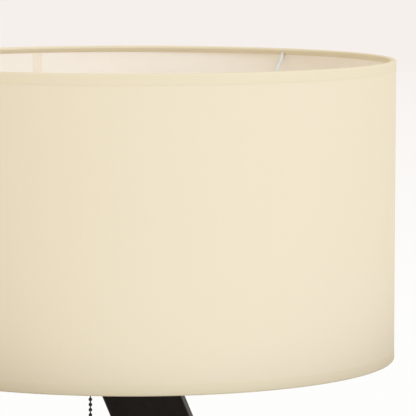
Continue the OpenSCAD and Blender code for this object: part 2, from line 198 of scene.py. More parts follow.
class Paint(NodeGraph):
    """One material's nodes, around one Principled shader."""

    def __init__(self, name: str, constants: dict[str, object]) -> None:
        """Makes the material and sets its shader's constants.

        Args:
            name: The material's name.
            constants: Values for the Principled shader's own sockets.
        """
        self.material = bpy.data.materials.new(name)
        self.material.use_nodes = True
        super().__init__(self.material.node_tree)
        self.shader = self.tree.nodes["Principled BSDF"]
        for label, value in constants.items():
            self.shader.inputs[label].default_value = (*value, 1.0) if isinstance(value, tuple) else value

    def place(self, stretch: Sequence[float] = (1, 1, 1), turns: Sequence[Sequence[float]] = (),
              attribute: str | None = None) -> Outlet:
        """Gives the coordinates that a pattern follows.

        Args:
            stretch: Scale along each axis, after the turns.
            turns: Rotations to make one after the other, in radians.
            attribute: The piece's own attribute to follow in place of Object coordinates.

        Returns:
            The vector's socket.
        """
        if attribute:
            vector = self.add("ShaderNodeAttribute", attribute_name=attribute).outputs["Vector"]
        else:
            vector = self.add("ShaderNodeTexCoord").outputs["Object"]
        for turn in turns:
            vector = self.put("ShaderNodeMapping", {"Vector": vector, "Rotation": turn})
        return self.put("ShaderNodeMapping", {"Vector": vector, "Scale": stretch})

    def noise(self, vector: Outlet, scale: float, detail: float = 3.0,
              warp: float = 0.0) -> Outlet:
        """Adds a noise pattern.

        Args:
            vector: The coordinates.
            scale: Cells per metre.
            detail: Octaves.
            warp: How far the pattern is drawn out of shape.

        Returns:
            The pattern's socket, from 0 to 1.
        """
        feeds = {"Vector": vector, "Scale": scale, "Detail": detail, "Distortion": warp}
        return self.put("ShaderNodeTexNoise", feeds)

    def mix(self, factor: object, first: object, second: object) -> Outlet:
        """Mixes two colours.

        Args:
            factor: 0 for the first, 1 for the second.
            first: A colour or socket.
            second: A colour or socket.

        Returns:
            The colour's socket.
        """
        node = self.add("ShaderNodeMix", {0: factor}, data_type="RGBA")
        for label, value in ((6, first), (7, second)):
            if isinstance(value, Outlet):
                self.tree.links.new(value, node.inputs[label])
            else:
                node.inputs[label].default_value = (*value, 1.0)
        return node.outputs[2]

    def emboss(self, height: Outlet, depth: float, strength: float = 1.0) -> None:
        """Raises a pattern on the surface, on top of what is raised already.

        Args:
            height: The pattern, from 0 to 1.
            depth: How far it is raised, in metres.
            strength: Share of the effect.
        """
        feeds = {"Height": height, "Distance": depth, "Strength": strength}
        normal = self.shader.inputs["Normal"]
        if normal.is_linked:
            feeds["Normal"] = normal.links[0].from_socket
        self.feed("Normal", self.put("ShaderNodeBump", feeds))

    def feed(self, label: str, socket: Outlet) -> None:
        """Links a socket to the shader's input of that name."""
        self.tree.links.new(socket, self.shader.inputs[label])


class GeometryTree(NodeGraph):
    """A Geometry Nodes tree with named inputs, whose result becomes a plain mesh."""

    def __init__(self, name: str, inputs: dict[str, str]) -> None:
        """Makes the tree and its sockets.

        Args:
            name: The tree's name.
            inputs: Each named input's kind: Float, Int, Object or Vector.
        """
        super().__init__(bpy.data.node_groups.new(name, "GeometryNodeTree"))
        face = self.tree.interface
        face.new_socket("Geometry", in_out="INPUT", socket_type="NodeSocketGeometry")
        face.new_socket("Geometry", in_out="OUTPUT", socket_type="NodeSocketGeometry")
        for label, kind in (inputs | {"Finish": "Material"}).items():
            face.new_socket(label, in_out="INPUT", socket_type=f"NodeSocket{kind}")
        self.given = self.add("NodeGroupInput").outputs

    def end(self, geometry: Outlet) -> None:
        """Realises the instances, sets the material and ends the tree.

        Args:
            geometry: What the tree has made.
        """
        real = self.put("GeometryNodeRealizeInstances", {0: geometry})
        smooth = self.put("GeometryNodeSetShadeSmooth", {0: real})
        feeds = {"Geometry": smooth, "Material": self.given["Finish"]}
        self.add("NodeGroupOutput", {0: self.put("GeometryNodeSetMaterial", feeds)})

    def shift(self, geometry: Outlet, way: Outlet, far: Outlet) -> None:
        """Moves each point along its way, and ends the tree.

        Args:
            geometry: What the tree has made.
            way: Each point's direction.
            far: How far it moves.
        """
        offset = self.put("ShaderNodeVectorMath", {0: way, "Scale": far}, operation="SCALE")
        self.end(self.put("GeometryNodeSetPosition", {"Geometry": geometry, "Offset": offset}))

    def wire(self, line: object, sides: object, radius: object) -> Outlet:
        """Gives a curve a round section.

        Args:
            line: The curve.
            sides: Sides of the section.
            radius: Its radius.

        Returns:
            The rod's mesh, with closed ends.
        """
        ring = self.put("GeometryNodeCurvePrimitiveCircle", {"Resolution": sides, "Radius": radius})
        return self.put("GeometryNodeCurveToMesh", {"Curve": line, "Profile Curve": ring, "Fill Caps": True})

    def copies(self, points: object, shape: object, **turn: object) -> Outlet:
        """Sets a shape on every point.

        Args:
            points: The points.
            shape: What is repeated.
            turn: Rotation, where the copies turn.

        Returns:
            The copies.
        """
        return self.put("GeometryNodeInstanceOnPoints", {"Points": points, "Instance": shape} | turn)

    def bake(self, name: str, start: bpy.types.Mesh, finish: "Finish", **values: object) -> Piece:
        """Runs the tree on a start mesh and keeps the result as a plain mesh.

        Args:
            name: The new piece's name.
            start: The mesh that the tree starts from.
            finish: The finish of the result.
            values: The named inputs, with _ for a space.

        Returns:
            The new object.
        """
        worker = in_scene(f"{name}.worker", start)
        modifier = worker.modifiers.new("Shape", "NODES")
        modifier.node_group = self.tree
        wanted = {label.replace("_", " "): value for label, value in values.items()}
        wanted["Finish"] = finish.material()
        for item in self.tree.interface.items_tree:
            if item.in_out == "INPUT" and item.name in wanted:
                modifier[item.identifier] = wanted[item.name]
        graph = bpy.context.evaluated_depsgraph_get()
        made = bpy.data.meshes.new_from_object(
            worker.evaluated_get(graph), preserve_all_data_layers=True, depsgraph=graph)
        made.name = name
        made.set_sharp_from_angle(angle=SHARP_TURN)
        worker.modifiers.clear()
        bpy.data.objects.remove(worker)
        bpy.data.meshes.remove(start)
        return in_scene(name, made)


# ---------- Finishes ----------


@dataclass(frozen=True)
class Finish:
    """What every finish has: a name, a record slot and two shades of its colour."""

    name: str
    slot: Slot
    colour: Colour
    worn: Colour

    def material(self) -> bpy.types.Material:
        """The finish's material, made the first time it is asked for."""
        return bpy.data.materials.get(self.name) or self.mix()

    def mix(self) -> bpy.types.Material:
        """Builds the material; each kind of finish has its own way."""
        raise NotImplementedError(self.name)


@dataclass(frozen=True)
class Metal(Finish):
    """Plated, cast or turned metal, with tarnish and fine rubbing marks."""

    roughness: float = 0.3
    tarnish: float = 0.35
    cells: float = 60.0
    rim: float = 1.0

    def mix(self) -> bpy.types.Material:
        """Builds the metal.

        Returns:
            The material.
        """
        paint = Paint(self.name, {"Metallic": 1.0, "Roughness": self.roughness,
                                  "Specular Tint": (self.rim, self.rim, self.rim)})
        here = paint.place()
        patches = paint.level(paint.noise(here, self.cells, 5.0), 0.38, 0.66)
        grime = paint.times(patches, self.tarnish)
        paint.feed("Base Color", paint.mix(grime, self.colour, self.worn))
        rubbing = paint.noise(paint.place((1, 1, 0.08)), 2600.0, 2.0)
        dull = paint.math("MULTIPLY_ADD", patches, 0.14, self.roughness - 0.05)
        paint.feed("Roughness", paint.math("MULTIPLY_ADD", rubbing, 0.08, dull))
        paint.emboss(rubbing, 0.012 * MM, 0.5)
        return paint.material


@dataclass(frozen=True)
class Enamel(Finish):
    """Sprayed or powder paint with an orange-peel skin and rubbed high spots."""

    roughness: float = 0.45
    peel: float = 0.03

    def mix(self) -> bpy.types.Material:
        """Builds the paint.

        Returns:
            The material.
        """
        paint = Paint(self.name, {"Roughness": self.roughness, "Specular IOR Level": 0.3})
        here = paint.place()
        skin = paint.noise(here, 900.0, 2.0)
        clouds = paint.noise(here, 35.0, 4.0)
        rubbed = paint.level(paint.noise(here, 240.0, 6.0), 0.6, 0.76)
        base = paint.mix(clouds, self.colour, tuple(0.8 * c for c in self.colour))
        paint.feed("Base Color", paint.mix(paint.times(rubbed, 0.3), base, self.worn))
        paint.feed("Roughness", paint.math("MULTIPLY_ADD", clouds, 0.16, self.roughness - 0.08))
        paint.emboss(skin, self.peel * MM, 0.6)
        return paint.material


@dataclass(frozen=True)
class StainedWood(Finish):
    """Open-pored boards under an espresso stain and a satin lacquer; the grain follows the board."""

    turn: float = 0.0
    lean: float = 0.0

    def mix(self) -> bpy.types.Material:
        """Builds the stained board.

        Returns:
            The material.
        """
        paint = Paint(self.name, {"Roughness": 0.4, "Specular IOR Level": 0.1})
        turns = ((0, 0, -self.turn), (0, self.lean, 0))
        rings = paint.noise(paint.place((26, 26, 1.1), turns), 1.6, 5.0, 0.7)
        streaks = paint.level(paint.noise(paint.place((420, 420, 9), turns), 1.0, 4.0), 0.3, 0.75)
        pores = paint.level(paint.noise(paint.place((1500, 1500, 42), turns), 1.0, 2.0), 0.62, 0.72)
        figure = paint.math("MULTIPLY_ADD", streaks, 0.5, paint.times(rings, 0.6))
        stain = paint.mix(figure, self.colour, self.worn)
        paint.feed("Base Color", paint.mix(paint.times(pores, 0.7), stain, (0.002, 0.0016, 0.0014)))
        paint.feed("Roughness", paint.math("MULTIPLY_ADD", streaks, 0.14, 0.34))
        paint.emboss(streaks, 0.02 * MM, 0.5)
        paint.emboss(paint.math("SUBTRACT", 1.0, pores), 0.07 * MM, 0.6)
        return paint.material


@dataclass(frozen=True)
class Cloth(Finish):
    """Plain-woven cloth that follows its own wrap, with upright slubs and painted shade in the gaps of its
    weave.
    """

    thread: float = 0.5 * MM
    slub: float = 0.5
    fuzz: float = 0.05

    def mix(self) -> bpy.types.Material:
        """Builds the cloth.

        Returns:
            The material.
        """
        paint = Paint(self.name, {"Roughness": 0.86, "Specular IOR Level": 0.12, "Sheen Weight": self.fuzz,
                                  "Sheen Roughness": 0.6})
        along = paint.add("ShaderNodeSeparateXYZ", {0: paint.place(attribute="wrap")}).outputs
        waves = [paint.math("SINE", paint.times(along[k], math.pi / self.thread)) for k in (0, 1)]
        weave = paint.math("MULTIPLY_ADD", paint.times(*waves), 0.5, 0.5)
        upright = paint.noise(paint.place((620, 9, 1), attribute="wrap"), 1.0, 3.0, 0.3)
        level = paint.noise(paint.place((14, 900, 1), attribute="wrap"), 1.0, 2.0)
        clouds = paint.noise(paint.place((9, 7, 1), attribute="wrap"), 1.0, 3.0)
        threads = paint.math("MULTIPLY_ADD", upright, self.slub, paint.times(level, 0.25))
        tone = paint.math("MULTIPLY_ADD", clouds, 0.35, paint.times(threads, 0.8))
        dyed = paint.mix(tone, self.colour, self.worn)
        # Painted shade: the weave's low spots between the threads are mixed up to a tenth of the way towards a
        # darker cream.
        weave_gap_shade = paint.math("MULTIPLY_ADD", weave, -0.1, 0.1)
        paint.feed("Base Color", paint.mix(weave_gap_shade, dyed, tuple(0.7 * c for c in self.colour)))
        paint.emboss(weave, 0.05 * MM, 0.5)
        paint.emboss(upright, 0.06 * MM, 0.4)
        return paint.material


@dataclass(frozen=True)
class Moulded(Finish):
    """Moulded or rolled sheet plastic, rubber, card or glass, with a fine grain and scuffs."""

    roughness: float = 0.5
    grain: float = 700.0
    depth: float = 0.02
    shine: float = 0.5
    clear: float = 0.0

    def mix(self) -> bpy.types.Material:
        """Builds the moulding.

        Returns:
            The material.
        """
        paint = Paint(self.name, {"Roughness": self.roughness, "Specular IOR Level": self.shine,
                                  "Transmission Weight": self.clear})
        here = paint.place()
        grain = paint.noise(here, self.grain, 3.0)
        scuffs = paint.level(paint.noise(here, 45.0, 6.0), 0.45, 0.72)
        tone = paint.math("MULTIPLY_ADD", grain, 0.35, paint.times(scuffs, 0.5))
        paint.feed("Base Color", paint.mix(tone, self.colour, self.worn))
        paint.feed("Roughness", paint.math("MULTIPLY_ADD", scuffs, 0.12, self.roughness - 0.04))
        paint.emboss(grain, self.depth * MM, 0.6)
        return paint.material


LEG_LEAN = math.radians(22.9)
LEG_WOODS = {
    f"{leg}_leg": StainedWood(f"espresso_{leg}_leg", Slot.WOOD, (0.0055, 0.0048, 0.0038),
                              (0.012, 0.0098, 0.0068), math.radians(turn), LEG_LEAN)
    for leg, turn in (("long", 0), ("back", 120), ("front", 240))}
BLACK_STEEL = Enamel("black_powder_paint", Slot.BLACK_STEEL, (0.014, 0.014, 0.014), (0.06, 0.058, 0.055), 0.42)
ZINC = Metal("zinc_plate", Slot.ZINC, (0.55, 0.55, 0.53), (0.32, 0.31, 0.28), 0.34, 0.6)
RUBBER = Moulded("foot_rubber", Slot.RUBBER, (0.02, 0.02, 0.021), (0.042, 0.041, 0.04), 0.78, 900.0, 0.05, 0.3)
BRASS = Metal("aged_brass", Slot.BRASS, (0.72, 0.5, 0.21), (0.38, 0.24, 0.09), 0.28, 0.5)
BRONZE = Enamel("satin_bronze", Slot.BRONZE, (0.045, 0.026, 0.016), (0.16, 0.09, 0.045), 0.38)
NICKEL = Metal("satin_nickel", Slot.NICKEL, (0.66, 0.64, 0.6), (0.42, 0.39, 0.34), 0.22, 0.45)
ANTIQUE = Metal("darkened_brass", Slot.ANTIQUE, (0.21, 0.13, 0.06), (0.09, 0.055, 0.026), 0.33, 0.4, 150.0)
CARD = Moulded("pressed_card", Slot.CARD, (0.6, 0.52, 0.36), (0.45, 0.37, 0.24), 0.85, 1200.0, 0.05, 0.2)
PHENOLIC = Moulded("moulded_phenolic", Slot.PHENOLIC, (0.024, 0.014, 0.009), (0.05, 0.03, 0.018), 0.4, 500.0,
                   0.02, 0.25)
CHAIN = Metal("rubbed_bronze", Slot.CHAIN, (0.045, 0.041, 0.035), (0.024, 0.021, 0.018), 0.42, 0.7, 300.0, 0.3)
OPAL = Moulded("frosted_glass", Slot.OPAL, (0.9, 0.89, 0.86), (0.84, 0.83, 0.8), 0.24, 300.0, 0.004, 0.5, 0.15)
ALUMINIUM = Metal("rolled_aluminium", Slot.ALUMINIUM, (0.74, 0.73, 0.7), (0.5, 0.49, 0.46), 0.32, 0.4)
WHITE_WIRE = Enamel("white_wire_paint", Slot.WHITE_WIRE, (0.84, 0.83, 0.8), (0.7, 0.68, 0.63), 0.4)
STYRENE = Moulded("liner_styrene", Slot.STYRENE, (0.96, 0.875, 0.77), (0.94, 0.85, 0.742), 0.5, 160.0, 0.01,
                  0.35)
CLOTH = Cloth("cream_cloth", Slot.CLOTH, (0.845, 0.739, 0.56), (0.82, 0.704, 0.521))
TAPE = Cloth("cream_tape", Slot.TAPE, (0.83, 0.722, 0.528), (0.806, 0.688, 0.492), 0.45 * MM, 0.3)
# Painted light: the same cloth as the drum's, given a lighter cream to stand for the brighter light inside the
# drum.
LIT_SEAM_CLOTH = Cloth("turned_in_cloth_lit", Slot.CLOTH, (0.943, 0.826, 0.68), (0.923, 0.803, 0.655), 0.5 * MM, 0.3)


SOCKET_NODES: dict[str, Finish] = {
    "socket_shell": ANTIQUE, "bell_mouth": ANTIQUE, "socket_liner": CARD, "socket_core": PHENOLIC,
    "centre_contact": BRASS, "switch_rotor": PHENOLIC, "rotor_pin": ZINC}


# ---------- Meshes ----------


def centre_of(node: str) -> Vector:
    """The middle of a CAD node's box."""
    low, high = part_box(node)
    return (low + high) / 2


def footing(node: str) -> tuple[Vector, float]:
    """The middle of the foot of a CAD node's box, and the box's height."""
    low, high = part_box(node)
    return Vector(((low.x + high.x) / 2, (low.y + high.y) / 2, low.z)), high.z - low.z


def half_width(node: str) -> float:
    """Half the width of a CAD node's box along X."""
    low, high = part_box(node)
    return (high.x - low.x) / 2


def new_piece(name: str, points: Sequence[Sequence[float]], faces: Sequence[Sequence[int]],
              finish: Finish, sharp_at: float = SHARP_TURN) -> Piece:
    """Makes a smooth-shaded mesh object.

    Args:
        name: The piece's name.
        points: Its points.
        faces: Its faces, as point numbers.
        finish: Its finish.
        sharp_at: Edges that turn more than this angle stay crisp.

    Returns:
        The new object, in the scene.
    """
    mesh = bpy.data.meshes.new(name)
    mesh.from_pydata([tuple(p) for p in points], [], faces)
    mesh.validate()
    mesh.shade_smooth()
    mesh.set_sharp_from_angle(angle=sharp_at)
    mesh.materials.append(finish.material())
    return in_scene(name, mesh)


def crisp_rims(mesh: bpy.types.Mesh) -> None:
    """Marks a surface's open edges sharp, so that its thickness keeps square corners.

    Args:
        mesh: The surface.
    """
    shape = bmesh.new()
    shape.from_mesh(mesh)
    for edge in shape.edges:
        edge.smooth = edge.smooth and not edge.is_boundary
    shape.to_mesh(mesh)
    shape.free()


def thicken(piece: Piece, label: str, thick: float, offset: float) -> None:
    """Gives a surface a wall with square edges.

    Args:
        piece: The surface.
        label: The modifier's name.
        thick: The wall's thickness.
        offset: -1 to grow it inwards, 0 to both sides.
    """
    crisp_rims(piece.data)
    wall = piece.modifiers.new(label, "SOLIDIFY")
    wall.thickness, wall.offset = thick, offset


def lathe(name: str, outline: Outline, finish: Finish, at: Vector | None = None, segments: int = 96,
          sharp_at: float = SHARP_TURN, out: Matrix | None = None, hexed: Sequence[int] = ()) -> Piece:
    """Turns a closed outline of (radius, height) round an upright axis.

    Args:
        name: The piece's name.
        outline: The section, anticlockwise with the radius to the right; the last point meets the
            first. Points at radius 0 lie on the axis.
        finish: Its finish.
        at: A point on the axis, at height 0 of the outline.
        segments: Steps round the turn.
        sharp_at: Edges that turn more than this angle stay crisp.
        out: A turn to make before the move, for an axis that isn't upright.
        hexed: Numbers of the points that follow a hexagon, whose corners have their radius.

    Returns:
        The new object.
    """
    points: list[Vector] = []
    rings: list[list[int]] = []
    for number, (radius, height) in enumerate(outline):
        steps = 1 if radius < 1e-6 else segments
        rings.append([len(points) + k % steps for k in range(segments)])
        for k in range(steps):
            angle = math.tau * k / segments
            flat = math.cos(math.pi / 6) / math.cos(angle % (math.pi / 3) - math.pi / 6)
            reach = radius * (flat if number in hexed else 1.0)
            points.append(Vector((reach * math.cos(angle), reach * math.sin(angle), height)))
    faces = []
    for low, high in zip(rings, rings[1:] + rings[:1]):
        for k in range(segments):
            n = (k + 1) % segments
            corners = list(dict.fromkeys((low[k], low[n], high[n], high[k])))
            if len(corners) > 2:
                faces.append(corners)
    place = Matrix.Translation(at or Vector()) @ (out or Matrix.Identity(4))
    return new_piece(name, [place @ p for p in points], faces, finish, sharp_at)


def arc(centre: tuple[float, float], radius: float, first: float, last: float, steps: int = 6) -> Outline:
    """Points along an arc.

    Args:
        centre: The arc's centre.
        radius: Its radius.
        first: Angle of its first point, in degrees.
        last: Angle of its last point.
        steps: Steps between them.

    Returns:
        The points.
    """
    angles = [math.radians(first + (last - first) * k / steps) for k in range(steps + 1)]
    return [(centre[0] + radius * math.cos(a), centre[1] + radius * math.sin(a)) for a in angles]


def mirrored(half: Outline, tall: float) -> Outline:
    """A whole section from its lower half, given its height; the upper half mirrors it."""
    return half + [(radius, tall - height) for radius, height in reversed(half)]


def scaled(outline: Outline) -> Outline:
    """An outline in metres from one in millimetres."""
    return [(r * MM, z * MM) for r, z in outline]


def publish(piece: Piece, body: Body, finish: Finish, *nodes: str) -> Piece:
    """Sends a piece to its body and says what it stands for.

    Args:
        piece: The finished piece.
        body: The body that it moves with.
        finish: Its finish; not used.
        nodes: The CAD nodes that it stands for.

    Returns:
        The piece.
    """
    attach(piece, body.value)
    if nodes:
        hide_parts(*nodes)
    LOG.info("%s rides on %s and stands for %s", piece.name, body.value, ", ".join(nodes) or "nothing")
    return piece


def turned(name: str, section: Outline, finish: Finish, at: Vector, node: str, body: Body = Body.ROOT,
           segments: int = 96, **shape: object) -> None:
    """Turns a section in millimetres and sends it to its body.

    Args:
        name: The piece's name.
        section: The closed section, as (radius, height).
        finish: Its finish.
        at: A point on the axis, at height 0 of the section, in metres.
        node: The CAD node that it stands for.
        body: The body that it moves with.
        segments: Steps round the turn.
        shape: What else lathe takes.
    """
    publish(lathe(name, scaled(section), finish, at, segments, **shape), body, finish, node)


def dress(node: str, finish: Finish) -> None:
    """Gives a CAD node that stays its finish.

    Args:
        node: The node's name.
        finish: Its finish.
    """
    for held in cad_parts[node].material_slots:
        held.material = finish.material()
    LOG.info("%s is dressed in %s", node, finish.name)


def line_mesh(lines: Sequence[Sequence[Sequence[float]]], closed: bool = False) -> bpy.types.Mesh:
    """Makes a mesh of bare lines for a tree to follow.

    Args:
        lines: The points of each line.
        closed: Whether every line ends where it begins.

    Returns:
        The mesh.
    """
    points: list[tuple[float, ...]] = []
    edges: list[tuple[int, int]] = []
    for line in lines:
        first, last = len(points), len(points) + len(line) - 1
        edges += [(k, k + 1) for k in range(first, last)] + ([(last, first)] if closed else [])
        points += [tuple(p) for p in line]
    mesh = bpy.data.meshes.new("lines")
    mesh.from_pydata(points, edges, [])
    return mesh


def bezier(ends: Sequence[tuple[float, float]], steps: int, first: int = 0) -> Outline:
    """Points along a cubic curve.

    Args:
        ends: Its start, two handles and end.
        steps: Steps along it.
        first: The step to begin at.

    Returns:
        The points.
    """
    found = []
    for k in range(first, steps + 1):
        t = k / steps
        weights = ((1 - t) ** 3, 3 * (1 - t) ** 2 * t, 3 * (1 - t) * t * t, t ** 3)
        found.append(tuple(sum(w * p[i] for w, p in zip(weights, ends)) for i in (0, 1)))
    return found


@cache
def rod_tree() -> GeometryTree:
    """Wire bent along the start mesh's lines, repeated round an upright axis.

    Returns:
        The tree.
    """
    tree = GeometryTree("bent_wire", {"Radius": "Float", "Sides": "Int", "Count": "Int", "Axis": "Vector"})
    given = tree.given
    line = tree.put("GeometryNodeMeshToCurve", {"Mesh": given["Geometry"]})
    rod = tree.wire(line, given["Sides"], given["Radius"])
    spots = tree.put("GeometryNodePoints", {"Count": given["Count"], "Position": given["Axis"]})
    share = tree.math("DIVIDE", tree.put("GeometryNodeInputIndex"), given["Count"])
    turn = tree.xyz(0.0, 0.0, tree.times(share, math.tau))
    facing = tree.put("FunctionNodeEulerToRotation", {0: turn})
    tree.end(tree.copies(spots, rod, Rotation=facing))
    return tree


@cache
def scatter_tree() -> GeometryTree:
    """One template set on every point of the start mesh, turned by the point's "facing".

    Returns:
        The tree.
    """
    tree = GeometryTree("set_on_points", {"Template": "Object"})
    template = tree.add("GeometryNodeObjectInfo", {0: tree.given["Template"]}).outputs["Geometry"]
    facing = tree.put("GeometryNodeInputNamedAttribute", {"Name": "facing"}, data_type="FLOAT_VECTOR")
    turn = tree.put("FunctionNodeEulerToRotation", {0: facing})
    tree.end(tree.copies(tree.given["Geometry"], template, Rotation=turn))
    return tree


@cache
def bead_tree() -> GeometryTree:
    """A hanging ball chain: beads at an even pitch, with a pin between each two.

    Returns:
        The tree.
    """
    tree = GeometryTree("ball_chain", {"Top": "Vector", "Count": "Int", "Pitch": "Float", "Bead": "Float",
                                       "Pin": "Float"})
    given = tree.given
    fall = tree.times(given["Pitch"], -1.0)
    step, half = tree.xyz(0.0, 0.0, fall), tree.xyz(0.0, 0.0, tree.times(fall, 0.5))
    between = tree.vector("ADD", given["Top"], half)
    ball = tree.put("GeometryNodeMeshUVSphere", {"Segments": 20, "Rings": 12, "Radius": given["Bead"]})
    pin = tree.put("GeometryNodeMeshCylinder", {"Vertices": 10, "Radius": given["Pin"],
                                                "Depth": tree.times(given["Pitch"], 0.5)})
    joined = tree.add("GeometryNodeJoinGeometry")
    for start, count, shape in ((given["Top"], given["Count"], ball),
                                (between, tree.math("SUBTRACT", given["Count"], 1.0), pin)):
        line = tree.put("GeometryNodeMeshLine", {"Count": count, "Start Location": start, "Offset": step})
        tree.tree.links.new(tree.copies(line, shape), joined.inputs[0])
    tree.end(joined.outputs[0])
    return tree


@cache
def thread_tree() -> GeometryTree:
    """A screw thread cut into the start mesh's round wall, between two heights.

    Returns:
        The tree.
    """
    tree = GeometryTree("screw_thread", {"Axis": "Vector", "Low": "Float", "High": "Float", "Pitch": "Float",
                                         "Depth": "Float", "Inside": "Float"})
    given = tree.given
    here = tree.put("GeometryNodeInputPosition")
    arm = tree.vector("SUBTRACT", here, given["Axis"])
    x, y, z = tree.add("ShaderNodeSeparateXYZ", {0: arm}).outputs
    flat = tree.xyz(x, y)
    outward, radius = tree.vector("NORMALIZE", flat), tree.length(flat)
    rise = tree.math("DIVIDE", tree.math("SUBTRACT", z, given["Low"]), given["Pitch"])
    turn = tree.math("SUBTRACT", rise, tree.math("DIVIDE", tree.math("ARCTAN2", y, x), math.tau))
    wave = tree.math("COSINE", tree.times(turn, math.tau))
    dip = tree.times(tree.math("MULTIPLY_ADD", wave, 0.5, -0.5), given["Depth"])
    runs_in = tree.level(z, given["Low"], tree.math("ADD", given["Low"], given["Pitch"]))
    runs_out = tree.level(z, tree.math("SUBTRACT", given["High"], given["Pitch"]), given["High"], 1.0, 0.0)
    wall = tree.math("GREATER_THAN", radius, given["Inside"])
    move = tree.times(dip, tree.times(runs_in, runs_out, wall))
    tree.shift(given["Geometry"], outward, move)
    return tree


@cache
def weld_tree() -> GeometryTree:
    """Rippled weld beads along the start mesh's upright lines.

    Returns:
        The tree.
    """
    tree = GeometryTree("weld_beads", {"Width": "Float", "Spacing": "Float", "Seed": "Float"})
    given = tree.given
    line = tree.put("GeometryNodeMeshToCurve", {"Mesh": given["Geometry"]})
    even = tree.put("GeometryNodeResampleCurve", {"Curve": line, "Length": 0.5 * MM}, mode="LENGTH")
    rod = tree.wire(even, 10, given["Width"])
    here = tree.put("GeometryNodeInputPosition")
    height = tree.add("ShaderNodeSeparateXYZ", {0: here}).outputs[2]
    phase = tree.times(tree.math("DIVIDE", height, given["Spacing"]), math.pi)
    ripple = tree.math("ABSOLUTE", tree.math("SINE", phase))
    rough = tree.put("ShaderNodeTexNoise", {"Vector": here, "W": given["Seed"], "Scale": 420.0, "Detail": 2.0},
                     noise_dimensions="4D")
    swell = tree.math("MULTIPLY_ADD", rough, 0.5, tree.math("MULTIPLY_ADD", ripple, 0.25, -0.75))
    move = tree.times(swell, tree.times(given["Width"], 0.5))
    tree.shift(rod, tree.put("GeometryNodeInputNormal"), move)
    return tree


def stacked(radius: float, low: float, high: float, pitch: float) -> Outline:
    """Rows of an outline close enough together for a thread to be cut into them.

    Args:
        radius: The wall's radius.
        low: Height of the first row.
        high: Height of the last.
        pitch: The thread's pitch.

    Returns:
        The points.
    """
    steps = math.ceil(abs(high - low) / pitch * 8)
    return [(radius, low + (high - low) * k / steps) for k in range(steps + 1)]


def threaded(name: str, outline: Outline, finish: Finish, at: Vector, thread: tuple[float, float],
             pitch: float, depth: float, inside: float, segments: int = 48) -> Piece:
    """Turns an outline and cuts a thread into its outer wall.

    Args:
        name: The piece's name.
        outline: The closed section.
        finish: Its finish.
        at: A point on the axis, at height 0 of the outline.
        thread: Heights of the outline between which the thread runs.
        pitch: Its pitch.
        depth: Depth of its grooves.
        inside: Walls with a radius below this stay plain.
        segments: Steps round the turn.

    Returns:
        The new object.
    """
    blank = lathe(f"{name}.blank", outline, finish, at, segments)
    mesh = blank.data
    bpy.data.objects.remove(blank)
    return thread_tree().bake(name, mesh, finish, Axis=at, Low=thread[0], High=thread[1], Pitch=pitch,
                              Depth=depth, Inside=inside)


@dataclass
class OnAxis:
    """What stands on the lamp's upright axis."""

    def __post_init__(self) -> None:
        """Reads the axis from the frame."""
        self.axis = Vector((*centre_of("spider_washer").xy, 0))

    def at(self, node: str) -> tuple[Vector, float]:
        """The point on the axis at a node's foot, and the node's height."""
        low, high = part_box(node)
        return self.up(low.z), high.z - low.z

    def up(self, height: float) -> Vector:
        """The point on the axis at a height."""
        return self.axis + Vector((0, 0, height))

    def out(self, azimuth: float, reach: float, height: float) -> Vector:
        """The point at a height, a reach from the axis and a turn about it."""
        return self.axis + Vector((math.cos(azimuth), math.sin(azimuth), 0)) * reach + Vector((0, 0, height))


# ---------- Shade ----------


